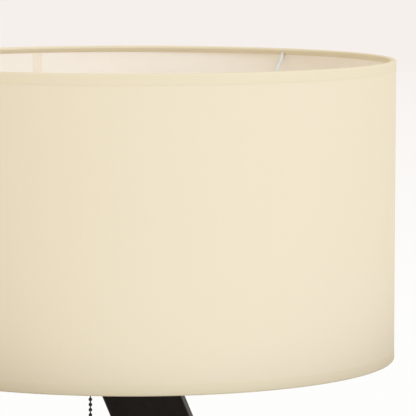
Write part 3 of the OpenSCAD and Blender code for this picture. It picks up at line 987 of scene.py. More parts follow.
@dataclass
class DrumShade(OnAxis):
    """The shade: a ribbed cloth drum on a styrene liner, rim tapes over wire rings, and a spider."""

    cloth_thick: float = 0.5 * MM
    cloth_lap: float = 11 * MM
    rib_pitch: float = 2.8 * MM
    rib_depth: float = 0.02 * MM
    seam_azimuth: float = math.radians(121.2)
    seam_width: float = 8.8 * MM
    tape_thick: float = 0.18 * MM
    tape_high: float = 9.5 * MM
    tape_inside: float = 6 * MM
    cloth_short: float = 0.9 * MM
    liner_short: float = 0.7 * MM
    wire_gap: float = 0.1 * MM
    glue: float = 0.05 * MM
    strip_thick: float = 0.25 * MM

    def __post_init__(self) -> None:
        """Reads the drum's place and sizes from the frame."""
        super().__post_init__()
        self.radius = half_width("shade_fabric")
        self.low_z, self.high_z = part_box("bottom_tape")[0].z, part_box("top_tape")[1].z
        wire_low, wire_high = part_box("top_ring")
        self.wire = (wire_high.z - wire_low.z) / 2
        self.wire_turn = half_width("top_ring") - self.wire
        self.wire_drop = self.high_z - (wire_high.z + wire_low.z) / 2
        self.liner_inside = self.wire_turn + self.wire + self.wire_gap

    def build(self) -> None:
        """Makes every piece of the shade."""
        tapes = [self.rim_tape("top_rim_tape", self.high_z, -1, "top_tape"),
                 self.rim_tape("bottom_rim_tape", self.low_z, 1, "bottom_tape")]
        self.liner()
        seam = self.inner_seam()
        self.cloth([*tapes, seam])
        self.wire_ring("top_wire", "top_ring")
        self.wire_ring("bottom_wire", "bottom_ring")

    def cloth(self, trims: list[Piece]) -> None:
        """Wraps the ribbed cloth round the liner, with its lap at the seam.

        Args:
            trims: The tapes and the seam strip; not used.
        """
        rim = self.cloth_short
        piece = cloth_tree().bake(
            "shade_cloth", bpy.data.meshes.new("empty"), CLOTH, Radius=self.radius, Low=self.low_z + rim,
            High=self.high_z - rim, Lap=self.cloth_lap, Lift=self.cloth_thick + self.glue,
            Start=self.seam_azimuth, Rib_Pitch=self.rib_pitch, Rib_Depth=self.rib_depth, Seed=4, Axis=self.axis)
        thicken(piece, "Cloth", self.cloth_thick, -1.0)
        publish(piece, Body.SHADE, CLOTH, "shade_fabric")

    def liner(self) -> None:
        """Makes the styrene drum inside the cloth."""
        outer = self.radius - self.cloth_thick - 0.02 * MM
        low, high = self.low_z + self.liner_short, self.high_z - self.liner_short
        outline = [(outer, low), (outer, high), (self.liner_inside, high), (self.liner_inside, low)]
        piece = lathe("styrene_liner", outline, STYRENE, self.axis, 256)
        publish(piece, Body.SHADE, STYRENE, "shade_liner")

    def wire_ring(self, name: str, node: str) -> None:
        """Bends one rim wire.

        Args:
            name: The piece's name.
            node: The CAD node that it stands for.
        """
        centre, steps = centre_of(node), 240
        turns = [math.tau * k / steps for k in range(steps)]
        path = [(self.wire_turn * math.cos(t), self.wire_turn * math.sin(t), 0.0) for t in turns]
        ring = rod_tree().bake(name, line_mesh([path], closed=True), WHITE_WIRE, Radius=self.wire, Sides=16,
                               Count=1, Axis=centre)
        publish(ring, Body.SHADE, WHITE_WIRE, node)

    def inner_seam(self) -> Piece:
        """Makes the strip of cloth turned in at the drum's seam, in a lighter copy of the drum's cloth that
        paints in the brighter light inside the drum.

        Returns:
            The strip.
        """
        tuck = self.tape_inside - 1 * MM
        low, high = self.low_z + tuck, self.high_z - tuck
        back, face = self.liner_inside - 0.01 * MM, self.liner_inside - self.strip_thick
        section = [(back, low), (back, high), (face, high), (face, low)]
        piece = self.wrap("inner_seam", section, LIT_SEAM_CLOTH, self.seam_azimuth,
                          self.seam_width / self.liner_inside, 8)
        return publish(piece, Body.SHADE, LIT_SEAM_CLOTH)

    def rim_tape(self, name: str, edge: float, up: int, node: str) -> Piece:
        """Folds a tape over one rim, round its wire and back to the liner.

        Args:
            name: The piece's name.
            edge: Height of the rim.
            up: 1 if the drum rises from this rim, -1 if it hangs from it.
            node: The CAD node that it stands for.

        Returns:
            The tape.
        """
        half = self.tape_thick / 2
        wire_wrap = self.wire + half + 0.08 * MM
        outer = self.radius + half + 0.02 * MM
        inner = self.liner_inside - half - 0.03 * MM
        corner = 1.1 * MM
        drop = self.wire_drop - wire_wrap
        line = [(outer, self.tape_high), (outer, self.tape_high * 0.6), (outer, corner + drop)]
        line += arc((outer - corner, corner + drop), corner, -20, -90, 4)
        line += arc((self.wire_turn, self.wire_drop), wire_wrap, -90, -225, 9)
        line += [(inner, self.tape_inside)]
        heights = [(r, edge + up * z) for r, z in line]
        piece = self.wrap(name, heights, TAPE, self.seam_azimuth + 0.1, math.tau, 720, closed=True,
                          lift=self.lap_lift)
        thicken(piece, "Tape", self.tape_thick, 0.0)
        return publish(piece, Body.SHADE, TAPE, node)

    def lap_lift(self, azimuth: float) -> float:
        """How far the cloth's lap pushes a tape out at an azimuth, in metres."""
        past, ease = (azimuth - self.seam_azimuth) % math.tau * self.radius, 2 * MM
        rise, fall = (min(1.0, max(0.0, way / ease)) for way in (past + ease, self.cloth_lap + ease - past))
        return (self.cloth_thick + self.glue) * rise * fall

    def wrap(self, name: str, section: Outline, finish: Finish, start: float, sweep: float, steps: int,
             closed: bool = False, lift: Callable[[float], float] = lambda azimuth: 0.0) -> Piece:
        """Sweeps a section round the drum, and stores its own wrap for the weave to follow.

        Args:
            name: The piece's name.
            section: Points of (radius, height).
            finish: Its finish.
            start: Azimuth of its first end.
            sweep: Angle that it covers.
            steps: Steps along it.
            closed: Whether it meets itself all the way round.
            lift: Extra radius at an azimuth, for the points outside the drum's radius.

        Returns:
            The new object.
        """
        stations = [start + sweep * k / steps for k in range(steps if closed else steps + 1)]
        points = []
        for azimuth in stations:
            extra = lift(azimuth)
            points += [self.out(azimuth, radius + (extra if radius > self.radius else 0.0), height)
                       for radius, height in section]
        width = len(section)
        faces = []
        for k in range(steps):
            a, b = k * width, (k + 1) % len(stations) * width
            faces += [[a + i, b + i, b + i + 1, a + i + 1] for i in range(width - 1)]
        if closed:
            if section[-1][1] <= section[0][1] and section[0][0] >= section[-1][0]:
                faces = [face[::-1] for face in faces]
        else:
            for k in range(steps):
                a, b = k * width, (k + 1) * width
                faces.append([a + width - 1, b + width - 1, b, a])
            faces += [list(range(width)), [steps * width + i for i in range(width)][::-1]]
        piece = new_piece(name, points, faces, finish)
        store_wrap(piece, self.axis, self.radius)
        return piece


def store_wrap(piece: Piece, axis: Vector, radius: float) -> None:
    """Stores how far round the drum and how high each point lies, in metres.

    Args:
        piece: The piece.
        axis: The drum's axis in plan.
        radius: The radius at which the distance is measured.
    """
    mesh = piece.data
    layer = mesh.attributes.new("wrap", "FLOAT_VECTOR", "POINT")
    for point in mesh.vertices:
        x, y = point.co.x - axis.x, point.co.y - axis.y
        layer.data[point.index].vector = (math.atan2(y, x) * radius, point.co.z, math.hypot(x, y))


def cloth_tree() -> GeometryTree:
    """The drum's cloth: a grid wrapped round the axis, with upright ribs and a raised lap.

    Returns:
        The tree.
    """
    stations, rows = 2200, 9
    tree = GeometryTree("ribbed_drum_cloth", {
        "Radius": "Float", "Low": "Float", "High": "Float", "Lap": "Float", "Lift": "Float", "Start": "Float",
        "Rib Pitch": "Float", "Rib Depth": "Float", "Seed": "Float", "Axis": "Vector"})
    given = tree.given
    grid = tree.add("GeometryNodeMeshGrid", {"Size X": 1.0, "Size Y": 1.0, "Vertices X": stations,
                                             "Vertices Y": rows})
    spot = tree.add("ShaderNodeSeparateXYZ", {0: grid.outputs["UV Map"]}).outputs
    cut = tree.math("MULTIPLY_ADD", given["Radius"], math.tau, given["Lap"])
    run = tree.times(spot[0], cut)
    height = tree.level(spot[1], 0.0, 1.0, given["Low"], given["High"])
    lap_start = tree.math("SUBTRACT", cut, given["Lap"])
    ease = tree.math("MULTIPLY_ADD", given["Lap"], -0.6, lap_start)
    lift = tree.level(run, ease, lap_start, 0.0, given["Lift"], smooth=True)
    wave = tree.math("SINE", tree.times(tree.math("DIVIDE", run, given["Rib Pitch"]), math.tau))
    drift = tree.xyz(tree.times(run, 60.0), tree.times(height, 9.0))
    vary = tree.put("ShaderNodeTexNoise", {"Vector": drift, "W": given["Seed"], "Scale": 1.0, "Detail": 3.0},
                    noise_dimensions="4D")
    rib = tree.times(wave, vary, given["Rib Depth"])
    reach = tree.math("ADD", tree.math("ADD", given["Radius"], lift), rib)
    angle = tree.math("ADD", tree.math("DIVIDE", run, given["Radius"]), given["Start"])
    across, along = (tree.times(tree.math(wave_kind, angle), reach) for wave_kind in ("COSINE", "SINE"))
    place = tree.vector("ADD", tree.xyz(across, along, height), given["Axis"])
    wrap = tree.xyz(run, height)
    stored = tree.put("GeometryNodeStoreNamedAttribute",
                      {"Geometry": grid.outputs["Mesh"], "Name": "wrap", "Value": wrap},
                      data_type="FLOAT_VECTOR", domain="POINT")
    tree.end(tree.put("GeometryNodeSetPosition", {"Geometry": stored, "Position": place}))
    return tree


# ---------- Spider ----------


@dataclass
class Spider(OnAxis):
    """The shade's fitter: three wire arms, welded to a washer and to the upper rim wire."""

    wire: float = 1.5 * MM
    bend_reach: float = 7 * MM
    slope: float = math.radians(55)
    washer_hole: float = 3.3 * MM
    blob: float = 1.2 * MM
    turn: float = math.radians(61.1)
    washer_edge: float = 0.35 * MM
    rim_bend: float = 2 * MM
    rim_rise: float = 3 * MM

    def __post_init__(self) -> None:
        """Reads the washer's place and the rim wire's size from the frame."""
        super().__post_init__()
        self.low_z, self.high_z = (corner.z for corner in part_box("spider_washer"))
        self.foot_z = (self.low_z + self.high_z) / 2
        self.washer = half_width("spider_washer")
        self.ring = half_width("top_ring") - self.wire
        self.top_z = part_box("spider_arms")[1].z

    def build(self) -> None:
        """Makes the washer, the arms and their welds."""
        thick, edge = self.high_z - self.low_z, self.washer_edge
        outline = [(self.washer_hole, edge), (self.washer_hole + edge, 0), (self.washer - edge, 0),
                   (self.washer, edge), (self.washer, thick - edge), (self.washer - edge, thick),
                   (self.washer_hole + edge, thick), (self.washer_hole, thick - edge)]
        publish(lathe("spider_centre", outline, WHITE_WIRE, self.up(self.low_z)), Body.SHADE, WHITE_WIRE,
                "spider_washer")
        way = [self.out(self.turn, r, z) - self.axis for r, z in self.path()]
        arms = rod_tree().bake("spider_wires", line_mesh([way]), WHITE_WIRE, Radius=self.wire, Sides=16, Count=3,
                               Axis=self.axis)
        publish(arms, Body.SHADE, WHITE_WIRE, "spider_arms")
        self.welds()

    def path(self) -> Outline:
        """Draws the arm's line from the washer's rim to the rim wire.

        Returns:
            Points of (radius, height).
        """
        dip_z = self.top_z - self.rim_rise
        bend_r = self.ring - (dip_z - self.foot_z) / math.tan(self.slope)
        start, bend, last = (self.washer + 0.1 * MM, self.foot_z), (bend_r, self.foot_z), (self.ring, dip_z)
        top = (self.ring, self.top_z)
        return [start, *self.corner(start, bend, last, self.bend_reach, 8),
                *self.corner(bend, last, top, self.rim_bend, 5), top]

    @staticmethod
    def corner(before: tuple[float, float], at: tuple[float, float], after: tuple[float, float], reach: float,
               steps: int) -> Outline:
        """Rounds one corner of a line.

        Args:
            before: The point before the corner.
            at: The corner.
            after: The point after it.
            reach: How far from the corner the bend begins and ends.
            steps: Steps round the bend.

        Returns:
            The bend's points.
        """
        here = Vector(at)
        first, last = (here + (Vector(p) - here).normalized() * reach for p in (before, after))
        found = []
        for k in range(steps + 1):
            t = k / steps
            found.append(tuple((1 - t) ** 2 * first + 2 * (1 - t) * t * here + t * t * last))
        return found

    def welds(self) -> None:
        """Sets a flattened drop of weld at both ends of every arm."""
        round_part = [(1.5 * r, z) for r, z in arc((0, 0), self.blob, -60, 60)]
        template = lathe("weld_drop", [(0, -self.blob), *round_part, (0, self.blob)], WHITE_WIRE, segments=18)
        spots = []
        for third in range(3):
            turn = self.turn + math.tau * third / 3
            spots += [(self.out(turn, reach, height), (0.0, 0.0, turn))
                      for reach, height in ((self.washer, self.foot_z), (self.ring, self.top_z - self.blob))]
        publish(scatter("spider_welds", template, spots, WHITE_WIRE), Body.SHADE, WHITE_WIRE)


def scatter(name: str, template: Piece, spots: Sequence[tuple[Vector, Sequence[float]]],
            finish: Finish) -> Piece:
    """Sets a template out on points, as one piece, and drops the template.

    Args:
        name: The piece's name.
        template: What is repeated, at the origin.
        spots: A place and a turn, as Euler angles, for each copy.
        finish: The finish.

    Returns:
        The new object.
    """
    mesh = bpy.data.meshes.new("spots")
    mesh.from_pydata([tuple(place) for place, _ in spots], [], [])
    facing = mesh.attributes.new("facing", "FLOAT_VECTOR", "POINT")
    for number, (_, turn) in enumerate(spots):
        facing.data[number].vector = tuple(turn)
    piece = scatter_tree().bake(name, mesh, finish, Template=template)
    bpy.data.meshes.remove(template.data)
    return piece


# ---------- Legs, hub and fasteners ----------


@dataclass
class LegFrame(OnAxis):
    """Three boards that lean together on a welded hub, with bolts through both."""

    lean: float = LEG_LEAN
    wide: float = 63.6 * MM
    thick: float = 22 * MM
    washer_thick: float = 1 * MM
    bar: float = 6 * MM
    plate: float = 4 * MM
    bolt_inset: float = 19 * MM
    bolt_reach: float = 17 * MM
    bolt_past: float = 6 * MM
    weld_width: float = 2.4 * MM
    weld_ripple: float = 1.6 * MM
    weld_short: float = 1.5 * MM
    turns: tuple[float, ...] = (0.0, math.radians(120), math.radians(240))

    def __post_init__(self) -> None:
        """Reads the hub's place from the frame."""
        super().__post_init__()
        self.low_z, self.high_z = (corner.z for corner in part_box("leg_hub"))
        self.cross_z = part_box("check_ring")[0].z
        self.cut = self.wide / math.cos(self.lean)

    def build(self) -> None:
        """Dresses the boards, the hub and the feet, and makes the welds and the fasteners."""
        for node, wood in LEG_WOODS.items():
            dress(node, wood)
            dress(f"{node}_pad", RUBBER)
        dress("leg_hub", BLACK_STEEL)
        self.welds()
        self.fasteners()

    def inner_edge(self, height: float) -> float:
        """How far a board's inner edge stands from the axis at a height, in metres."""
        return (self.cross_z - height) * math.tan(self.lean) - self.cut / 2

    def welds(self) -> None:
        """Runs a weld up both sides of each plate, where it meets the hub's bar."""
        half = self.plate / 2
        reach = math.sqrt(self.bar ** 2 - half ** 2)
        lines = []
        for turn in self.turns:
            for side in (-1, 1):
                place = Matrix.Rotation(turn, 3, "Z") @ Vector((reach, side * half, 0))
                lines.append([self.up(z) + place
                              for z in (self.low_z + self.weld_short, self.high_z - self.weld_short)])
        beads = weld_tree().bake("hub_welds", line_mesh(lines), BLACK_STEEL, Width=self.weld_width,
                                 Spacing=self.weld_ripple, Seed=7.0)
        publish(beads, Body.ROOT, BLACK_STEEL)

    def spots(self, offset: float, flip: bool = False) -> list[tuple[Vector, tuple[float, float, float]]]:
        """Where the bolts run: a point on each bolt's axis, with +Z towards its head.

        Args:
            offset: How far from the board's middle, towards the head.
            flip: Turns the copies the other way round.

        Returns:
            Places and turns.
        """
        found = []
        for turn in self.turns:
            rotate = Matrix.Rotation(turn, 4, "Z") @ Matrix.Rotation(math.radians(-90 if flip else 90), 4, "X")
            for height in (self.low_z + self.bolt_inset, self.high_z - self.bolt_inset):
                local = Vector((self.inner_edge(height) + self.bolt_reach, -offset, height))
                place = self.axis + Matrix.Rotation(turn, 3, "Z") @ local
                found.append((place, tuple(rotate.to_euler())))
        return found

    def fasteners(self) -> None:
        """Makes the bolts, the washers and the cap nuts."""
        seat = self.thick / 2 + self.washer_thick
        tip = -(2 * seat + self.bolt_past) / MM
        bolt = [(0, tip), (2.6, tip), (3, tip + 0.5), (3, 0), (5.6, 0),
                *bezier([(5.6, 1.1), (5.6, 2.2), (4.6, 3.2), (3.2, 3.2)], 4), (2.6, 3.2), (2.3, 2.9), (2.3, 1.2),
                (0, 1.2)]
        washer = [(3.2, 0.15), (3.35, 0), (6.8, 0), (7, 0.2), (7, 0.8), (6.8, 1), (3.35, 1), (3.2, 0.85)]
        nut = [(3.05, 0), (5.0, 0), (5.77, 0.45), (5.77, 4.5), (5.1, 5), (4.75, 5),
               *arc((0, 4.5), 4.8, 15, 75, 4), (0, 9.3), (0, 6.5), (3.05, 6.5)]
        under = self.thick / 2
        for name, section, segments, hexed, spots in (
                ("bolts", bolt, 36, (11, 12), self.spots(seat)),
                ("washers", washer, 48, (), self.spots(under) + self.spots(-under, flip=True)),
                ("cap_nuts", nut, 36, (2, 3), self.spots(-seat, flip=True))):
            template = lathe("template", scaled(section), ZINC, segments=segments, hexed=hexed)
            publish(scatter(f"leg_{name}", template, spots, ZINC), Body.ROOT, ZINC, f"hub_{name}")


# ---------- Stem ----------


@dataclass
class Stem(OnAxis):
    """The threaded tube on the long leg, with its rings, sleeve, nut and the cord's grommet."""

    tube: float = 4.85 * MM
    bore: float = 3.6 * MM
    thread_pitch: float = 0.94 * MM
    thread_depth: float = 0.28 * MM
    chamfer: float = 0.3 * MM
    nut_flats: float = 17.0

    def build(self) -> None:
        """Makes the stem's pieces."""
        dress("stem_insert", BRASS)
        self.thread()
        self.collars()
        self.grommet()

    def thread(self) -> None:
        """Cuts the tube's thread, down to the insert."""
        foot, tall = self.at("stem_tube")
        ends = (self.chamfer, tall - self.chamfer)
        outline = [(self.bore, 0), (self.tube - self.chamfer, 0), *stacked(self.tube, *ends, self.thread_pitch),
                   (self.tube - self.chamfer, tall), (self.bore, tall)]
        tube = threaded("threaded_stem", outline, ZINC, foot, ends, self.thread_pitch, self.thread_depth,
                        4.7 * MM, 32)
        publish(tube, Body.ROOT, ZINC, "stem_tube")

    def collars(self) -> None:
        """Turns the check ring, the sleeve and the lock nut."""
        foot, _ = self.at("check_ring")
        ring = [(5.0, 0), (15.7, 0), (16, 0.3), *arc((15.5, 1.4), 0.5, 0, 90, 4),
                *bezier([(15, 1.9), (14.9, 2.6), (14.2, 3), (13.4, 3)], 6), (5.0, 3)]
        turned("check_washer", ring, BRONZE, foot, "check_ring", segments=128)
        foot, tall = self.at("stem_sleeve")
        sleeve = mirrored([(5.0, 0), (7.6, 0), (8, 0.4), (8, 1.2), (7.55, 1.6), (7.45, 2.2)], tall / MM)
        turned("turned_sleeve", sleeve, BRONZE, foot, "stem_sleeve")
        foot, tall = self.at("stem_lock_nut")
        flat = self.nut_flats / 2
        nut = mirrored([(4.85, 0.3), (5.1, 0), (flat, 0), (flat / math.cos(math.pi / 6), 0.75)], tall / MM)
        turned("lock_nut", nut, ZINC, foot, "stem_lock_nut", segments=48, hexed=(3, 4))

    def grommet(self) -> None:
        """Moulds the grommet that lines the cord's way in."""
        centre, flange = centre_of("cord_grommet"), 1.6
        mouth = Vector((centre.x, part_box("cord_grommet")[1].y - flange * MM, centre.z))
        section = [(3.25, -6), (4.3, -6), (4.6, -5.6), (4.6, 0), (7.2, 0),
                   *bezier([(7.2, 0.5), (7.2, 1.3), (6.5, flange), (5.4, flange)], 5),
                   *bezier([(5.4, flange), (4.2, flange), (3.25, 1.3), (3.25, 0.3)], 5, 1)]
        turned("cord_bush", section, RUBBER, mouth, "cord_grommet", segments=64,
               out=Matrix.Rotation(-math.pi / 2, 4, "X"))


# ---------- Harp ----------


@dataclass
class Harp(OnAxis):
    """The wire harp: a saddle with ears, two sliding ferrules, two bent wires and a studded seat."""

    wire: float = 1.6 * MM
    foot: float = 28.0
    wide: float = 57.0
    stud: float = 3.0
    stud_pitch: float = 0.94
    ear: float = 18.0
    shoulder: float = 38.0
    belly: float = 98.0

    def build(self) -> None:
        """Makes the harp's pieces."""
        dress("harp_saddle", NICKEL)
        self.wires()
        self.seat()
        for body in (Body.LEFT_FERRULE, Body.RIGHT_FERRULE):
            self.ferrule(body)

    def wires(self) -> None:
        """Bends both wires from the ears to the seat."""
        low, seat, saddle = (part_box(node)[0].z / MM for node in ("harp", "harp_seat", "harp_saddle"))
        foot, wide, belly, bend = self.foot, self.wide, saddle + self.belly, saddle + self.shoulder
        path = [(foot, low), (foot, saddle + self.ear),
                *bezier([(foot, bend - 4), (foot, bend + 22), (wide, bend + 20), (wide, belly)], 20),
                *bezier([(wide, belly), (wide, belly + 62), (foot + 10, seat + 1), (6.2, seat + 3)], 26, 1)]
        way = [(x * MM, 0.0, z * MM) for x, z in path]
        wires = rod_tree().bake("harp_wires", line_mesh([way]), NICKEL, Radius=self.wire, Sides=16, Count=2,
                                Axis=self.axis)
        publish(wires, Body.ROOT, NICKEL, "harp")

    def seat(self) -> None:
        """Turns the seat, with the finial's threaded stud on it."""
        foot, tall = self.at("harp_seat")
        top, pitch = tall / MM, self.stud_pitch
        outline = scaled([(0, 0), (5.5, 0), (6, 0.5), (6, 5.6), (5.6, 6), (self.stud, 6),
                          *stacked(self.stud, 6.6, top - 0.5, pitch), (self.stud - 0.5, top), (0, top)])
        piece = threaded("studded_seat", outline, NICKEL, foot, (6.6 * MM, (top - 0.5) * MM), pitch * MM,
                         0.3 * MM, 2.9 * MM)
        publish(piece, Body.ROOT, NICKEL, "harp_seat")

    def ferrule(self, body: Body) -> None:
        """Turns one of the ferrules that hold the harp down on its ears.

        Args:
            body: The ferrule's body.
        """
        foot, tall = footing(body.value)
        section = mirrored([(5.5, 0), (6.3, 0), (6.5, 0.2), (6.5, 0.9), (6.25, 1.2)], tall / MM)
        turned(f"{body.value}_sleeve", section, NICKEL, foot, body.value, body, 64)


# ---------- Socket, switch and chain ----------


@dataclass
class Socket(OnAxis):
    """The brass socket with its cap, shell, switch works and screw shell."""

    screw_pitch: float = 3.63
    screw_depth: float = 0.35 * MM

    def build(self) -> None:
        """Makes the cap and the screw shell, and dresses the works."""
        cap = [(4.9, 0), *bezier([(8.2, 0), (9.2, 0), (9.6, 0.7), (10.3, 1.5)], 4),
               *bezier([(10.3, 1.5), (12.6, 3.6), (18.4, 4.8), (18.4, 13)], 12, 1),
               (18.4, 18.6), (18.15, 18.9), (18.15, 19.3), (18.4, 19.6), (18.2, 20), (17.45, 20),
               *bezier([(17.45, 11.6), (17, 6.4), (12.5, 3.6), (9, 3)], 8), (4.9, 3)]
        turned("spun_cap", cap, ANTIQUE, self.at("socket_cap")[0], "socket_cap", segments=128)
        foot, tall = self.at("screw_shell")
        top = tall / MM
        shell = scaled([(10.3, 0), (13.8, 0), *stacked(13.8, 0.5, top - 0.2, self.screw_pitch), (13.6, top),
                        (13.3, top), (13.3, 0.5), (10.3, 0.5)])
        screw = threaded("rolled_screw_shell", shell, BRASS, foot, (1.2 * MM, (top - 0.6) * MM),
                         self.screw_pitch * MM, self.screw_depth, 13.5 * MM, 96)
        publish(screw, Body.ROOT, BRASS, "screw_shell")
        for node, finish in SOCKET_NODES.items():
            dress(node, finish)


@dataclass
class PullChain:
    """The ball chain that works the switch, in its two bodies, and the bell at its end."""

    pitch: float = 4.47 * MM
    bead: float = 1.6 * MM
    pin: float = 0.55 * MM
    bell_neck: float = 1.9

    def build(self) -> None:
        """Strings the beads and turns the end bell."""
        self.string("lead_beads", "chain_lead", Body.CHAIN_LEAD)
        self.string("hanging_beads", "pull_chain", Body.PULL_CHAIN)
        foot, tall = footing("chain_bell")
        neck = self.bell_neck
        section = [(0.9, -neck), *bezier([(1.4, -neck), (2.4, -neck), (2.5, -3.4), (2.7, -5.2)], 6),
                   *bezier([(2.7, -5.2), (3, -9.6), (4.5, -12.4), (4.9, -15)], 8, 1),
                   *bezier([(4.9, -15), (5, -16.2), (4, -16.6), (0, -16.8)], 7, 1), (0, -2.4), (0.9, -2.4)]
        turned("end_bell", section[::-1], CHAIN, foot + Vector((0, 0, tall + neck * MM)), "chain_bell",
               Body.PULL_CHAIN, 64)

    def string(self, name: str, node: str, body: Body) -> None:
        """Strings the beads of one node.

        Args:
            name: The piece's name.
            node: The CAD node that it stands for.
            body: The body that it moves with.
        """
        foot, tall = footing(node)
        count = round((tall - 2 * self.bead) / self.pitch) + 1
        beads = bead_tree().bake(name, bpy.data.meshes.new("empty"), CHAIN, Count=count, Pitch=self.pitch,
                                 Bead=self.bead, Pin=self.pin, Top=foot + Vector((0, 0, tall - self.bead)))
        publish(beads, body, CHAIN, node)


# ---------- Bulb and finial ----------


@dataclass
class Bulb:
    """A frosted screw-in bulb."""

    thread_pitch: float = 3.63
    thread_depth: float = 0.8 * MM
    wall: float = 1.0

    def build(self) -> None:
        """Blows the glass, dresses the contact and rolls the threaded base."""
        self.glass()
        dress("bulb_contact", PHENOLIC)
        foot, tall = footing("bulb_base")
        foot.xy, top = centre_of("bulb_glass").xy, tall / MM
        outline = scaled([*bezier([(4.6, 0), (8, 0.7), (11.6, 2.4), (12.6, 4.2)], 6),
                          *stacked(13, 5, top, self.thread_pitch), (12.05, top), (12.05, 5.3), (8.8, 2.4),
                          (4.6, 0.6)])
        base = threaded("rolled_base", outline, ALUMINIUM, foot, (5.2 * MM, (top - 3) * MM),
                        self.thread_pitch * MM, self.thread_depth, 12.5 * MM, 96)
        publish(base, Body.BULB, ALUMINIUM, "bulb_base")

    def glass(self) -> None:
        """Blows the pear-shaped glass, with its wall."""
        foot, tall = footing("bulb_glass")
        belly, crown, wall = half_width("bulb_glass") / MM, tall / MM, self.wall
        middle = crown - belly
        outer = [(13.4, 0), *bezier([(13.8, 2), (14, 20), (belly, middle - 28), (belly, middle)], 28),
                 *arc((0, middle), belly, 4, 88, 21), (0, crown)]
        inner = [(0, crown - wall), *arc((0, middle), belly - wall, 88, 4, 21),
                 *bezier([(belly - wall, middle), (belly - wall, middle - 28), (13, 20), (12.8, 2)], 28),
                 (12.4, 0)]
        turned("blown_glass", outer + inner, OPAL, foot, "bulb_glass", Body.BULB, sharp_at=math.radians(60))


@dataclass
class Finial:
    """The turned knob that holds the shade down."""

    ball: float = 7.0

    def build(self) -> None:
        """Turns the finial."""
        foot, tall = footing("finial")
        section = [(3.06, 0), (6.7, 0), (7, 0.3), (7, 1.1),
                   *bezier([(6.7, 1.5), (5, 1.8), (4.4, 2.6), (4.4, 4)], 6), (4.4, 5), (4.9, 5.6), (5.9, 6),
                   *arc((0, 12), self.ball, -55, 80, 18), (0, tall / MM), (0, 15), (3.06, 15)]
        turned("turned_finial", section, CHAIN, foot, "finial", Body.FINIAL, 64)


# ---------- Stage ----------


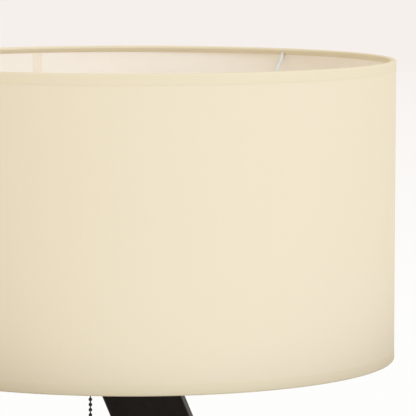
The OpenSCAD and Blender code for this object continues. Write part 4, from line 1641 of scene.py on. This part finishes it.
@dataclass
class Stage:
    """A pale floor with painted light that fades away from the lamp, a soft studio light and the camera."""

    azimuth: float = math.radians(9.0)
    distance: float = 2.712
    above_rim: float = 0.1453
    pitch: float = math.radians(5.75)
    yaw: float = math.radians(1.34)
    roll: float = math.radians(0.10)
    lens: float = 276.7
    floor_radius: float = 96.0
    room_light: Colour = (0.82, 0.77, 0.66)
    backdrop: Colour = (0.93, 0.89, 0.87)
    # Painted light: the floor is whiter near the lamp and a dimmer, warmer grey far off.
    floor_lit_near: Colour = (0.995, 0.99, 1.0)
    floor_dim_far: Colour = (0.93, 0.873, 0.867)
    floor_fade: tuple[float, float] = (8.0, 28.0)
    flag_side: float = 0.318
    flag_shift: float = 0.038
    flag_gap: float = 4 * MM
    flag_deep: float = 24 * MM
    flag_drop: float = 12 * MM
    flag_shades: tuple[Colour, Colour] = ((0.17, 0.14, 0.09), (0.2, 0.16, 0.11))
    key_spread: float = math.radians(20)
    key_from: Colour = (0.5, -0.7, 0.8)
    key_power: float = 1.46
    key_colour: Colour = (0.56, 0.735, 1.0)

    def __post_init__(self) -> None:
        """Turns the studio's front towards the camera."""
        self.facing = Matrix.Rotation(self.azimuth, 3, "Z")

    def build(self) -> None:
        """Makes the camera, the floor and the lights."""
        scene = bpy.context.scene
        scene.view_settings.view_transform = "Standard"
        self.camera(scene)
        self.floor()
        self.flag()
        self.lights(scene)

    def camera(self, scene: bpy.types.Scene) -> None:
        """Sets the camera before the lamp.

        Args:
            scene: The scene.
        """
        axis, top = centre_of("spider_washer"), cad_box[1].z
        look = self.facing @ Vector((math.sin(self.yaw) * math.cos(self.pitch),
                              math.cos(self.yaw) * math.cos(self.pitch), -math.sin(self.pitch)))
        data = bpy.data.cameras.new("camera")
        data.lens, data.sensor_width = self.lens, 36.0
        data.clip_start, data.clip_end = 0.1, 250.0
        camera = in_scene("camera", data)
        spot = Vector((axis.x, axis.y, top + self.above_rim)) + self.facing @ Vector((0, -self.distance, 0))
        right = look.cross(Vector((0, 0, 1))).normalized()
        up = right.cross(look)
        right, up = (math.cos(self.roll) * right + math.sin(self.roll) * up,
                     math.cos(self.roll) * up - math.sin(self.roll) * right)
        camera.matrix_world = Matrix.Translation(spot) @ Matrix((right, up, -look)).transposed().to_4x4()
        scene.camera = camera

    def floor(self) -> None:
        """Lays a wide round floor with painted light: whiter near the lamp, dimmer and warmer far off."""
        paint = Paint("studio_floor", {"Roughness": 0.9, "Specular IOR Level": 0.1})
        # Painted light: the colour fades from the lit near shade to the dim far one with distance from the lamp.
        far = paint.level(paint.length(paint.place((1, 1, 0))), *self.floor_fade)
        paint.feed("Base Color", paint.mix(far, self.floor_lit_near, self.floor_dim_far))
        mesh = bpy.data.meshes.new("studio_floor")
        shape = bmesh.new()
        bmesh.ops.create_circle(shape, cap_ends=True, segments=96, radius=self.floor_radius)
        shape.to_mesh(mesh)
        shape.free()
        mesh.materials.append(paint.material)
        in_scene("studio_floor", mesh)

    def flag(self) -> None:
        """Hangs a grey flag round the shade's lower rim, wide at both sides, out of the camera's sight."""
        paint = Paint("studio_flag", {"Roughness": 0.9, "Specular IOR Level": 0.1})
        paint.feed("Base Color", paint.mix(paint.noise(paint.place(), 3.0), *self.flag_shades))
        foot, _ = footing("shade_fabric")
        inside = half_width("shade_fabric") + self.flag_gap
        rings = ((inside, inside, 0.0), (self.flag_side, inside + self.flag_deep, self.flag_shift))
        steps = 96
        points = []
        for k in range(steps):
            across, along = math.sin(math.tau * k / steps), math.cos(math.tau * k / steps)
            points += [foot + self.facing @ Vector((wide * across - shift, deep * along, -self.flag_drop))
                       for wide, deep, shift in rings]
        faces = [[2 * k, 2 * k + 1, (2 * k + 3) % (2 * steps), (2 * k + 2) % (2 * steps)] for k in range(steps)]
        mesh = bpy.data.meshes.new("studio_flag")
        mesh.from_pydata(points, [], faces)
        mesh.materials.append(paint.material)
        flag = in_scene("studio_flag", mesh)
        flag.visible_camera = flag.visible_glossy = flag.visible_shadow = False

    def lights(self, scene: bpy.types.Scene) -> None:
        """Lights the lamp from all round, and a little more from the right and above.

        Args:
            scene: The scene.
        """
        world = bpy.data.worlds.new("studio")
        world.use_nodes = True
        graph = NodeGraph(world.node_tree)
        room = world.node_tree.nodes["Background"]
        room.inputs["Color"].default_value = (*self.room_light, 1.0)
        backdrop = graph.put("ShaderNodeBackground", {"Color": (*self.backdrop, 1.0)})
        seen = graph.add("ShaderNodeLightPath").outputs["Is Camera Ray"]
        shown = graph.put("ShaderNodeMixShader", {0: seen, 1: room.outputs[0], 2: backdrop})
        world.node_tree.links.new(shown, world.node_tree.nodes["World Output"].inputs["Surface"])
        scene.world = world
        key = bpy.data.lights.new("key", "SUN")
        key.energy, key.angle = self.key_power, self.key_spread
        key.color = self.key_colour
        lamp = in_scene("key", key)
        aim = self.facing @ Vector(self.key_from)
        lamp.rotation_mode = "QUATERNION"
        lamp.rotation_quaternion = aim.to_track_quat("Z", "Y")


# ---------- Lamp ----------


def main() -> None:
    """Builds the lamp's sub-assemblies in order."""
    logging.basicConfig(level=logging.INFO, format="%(name)s: %(message)s")
    for kind in (Stage, DrumShade, Spider, LegFrame, Stem, Harp, Socket, PullChain, Bulb, Finial):
        LOG.info("building %s", kind.__name__)
        kind().build()


if __name__ == "__main__":
    main()
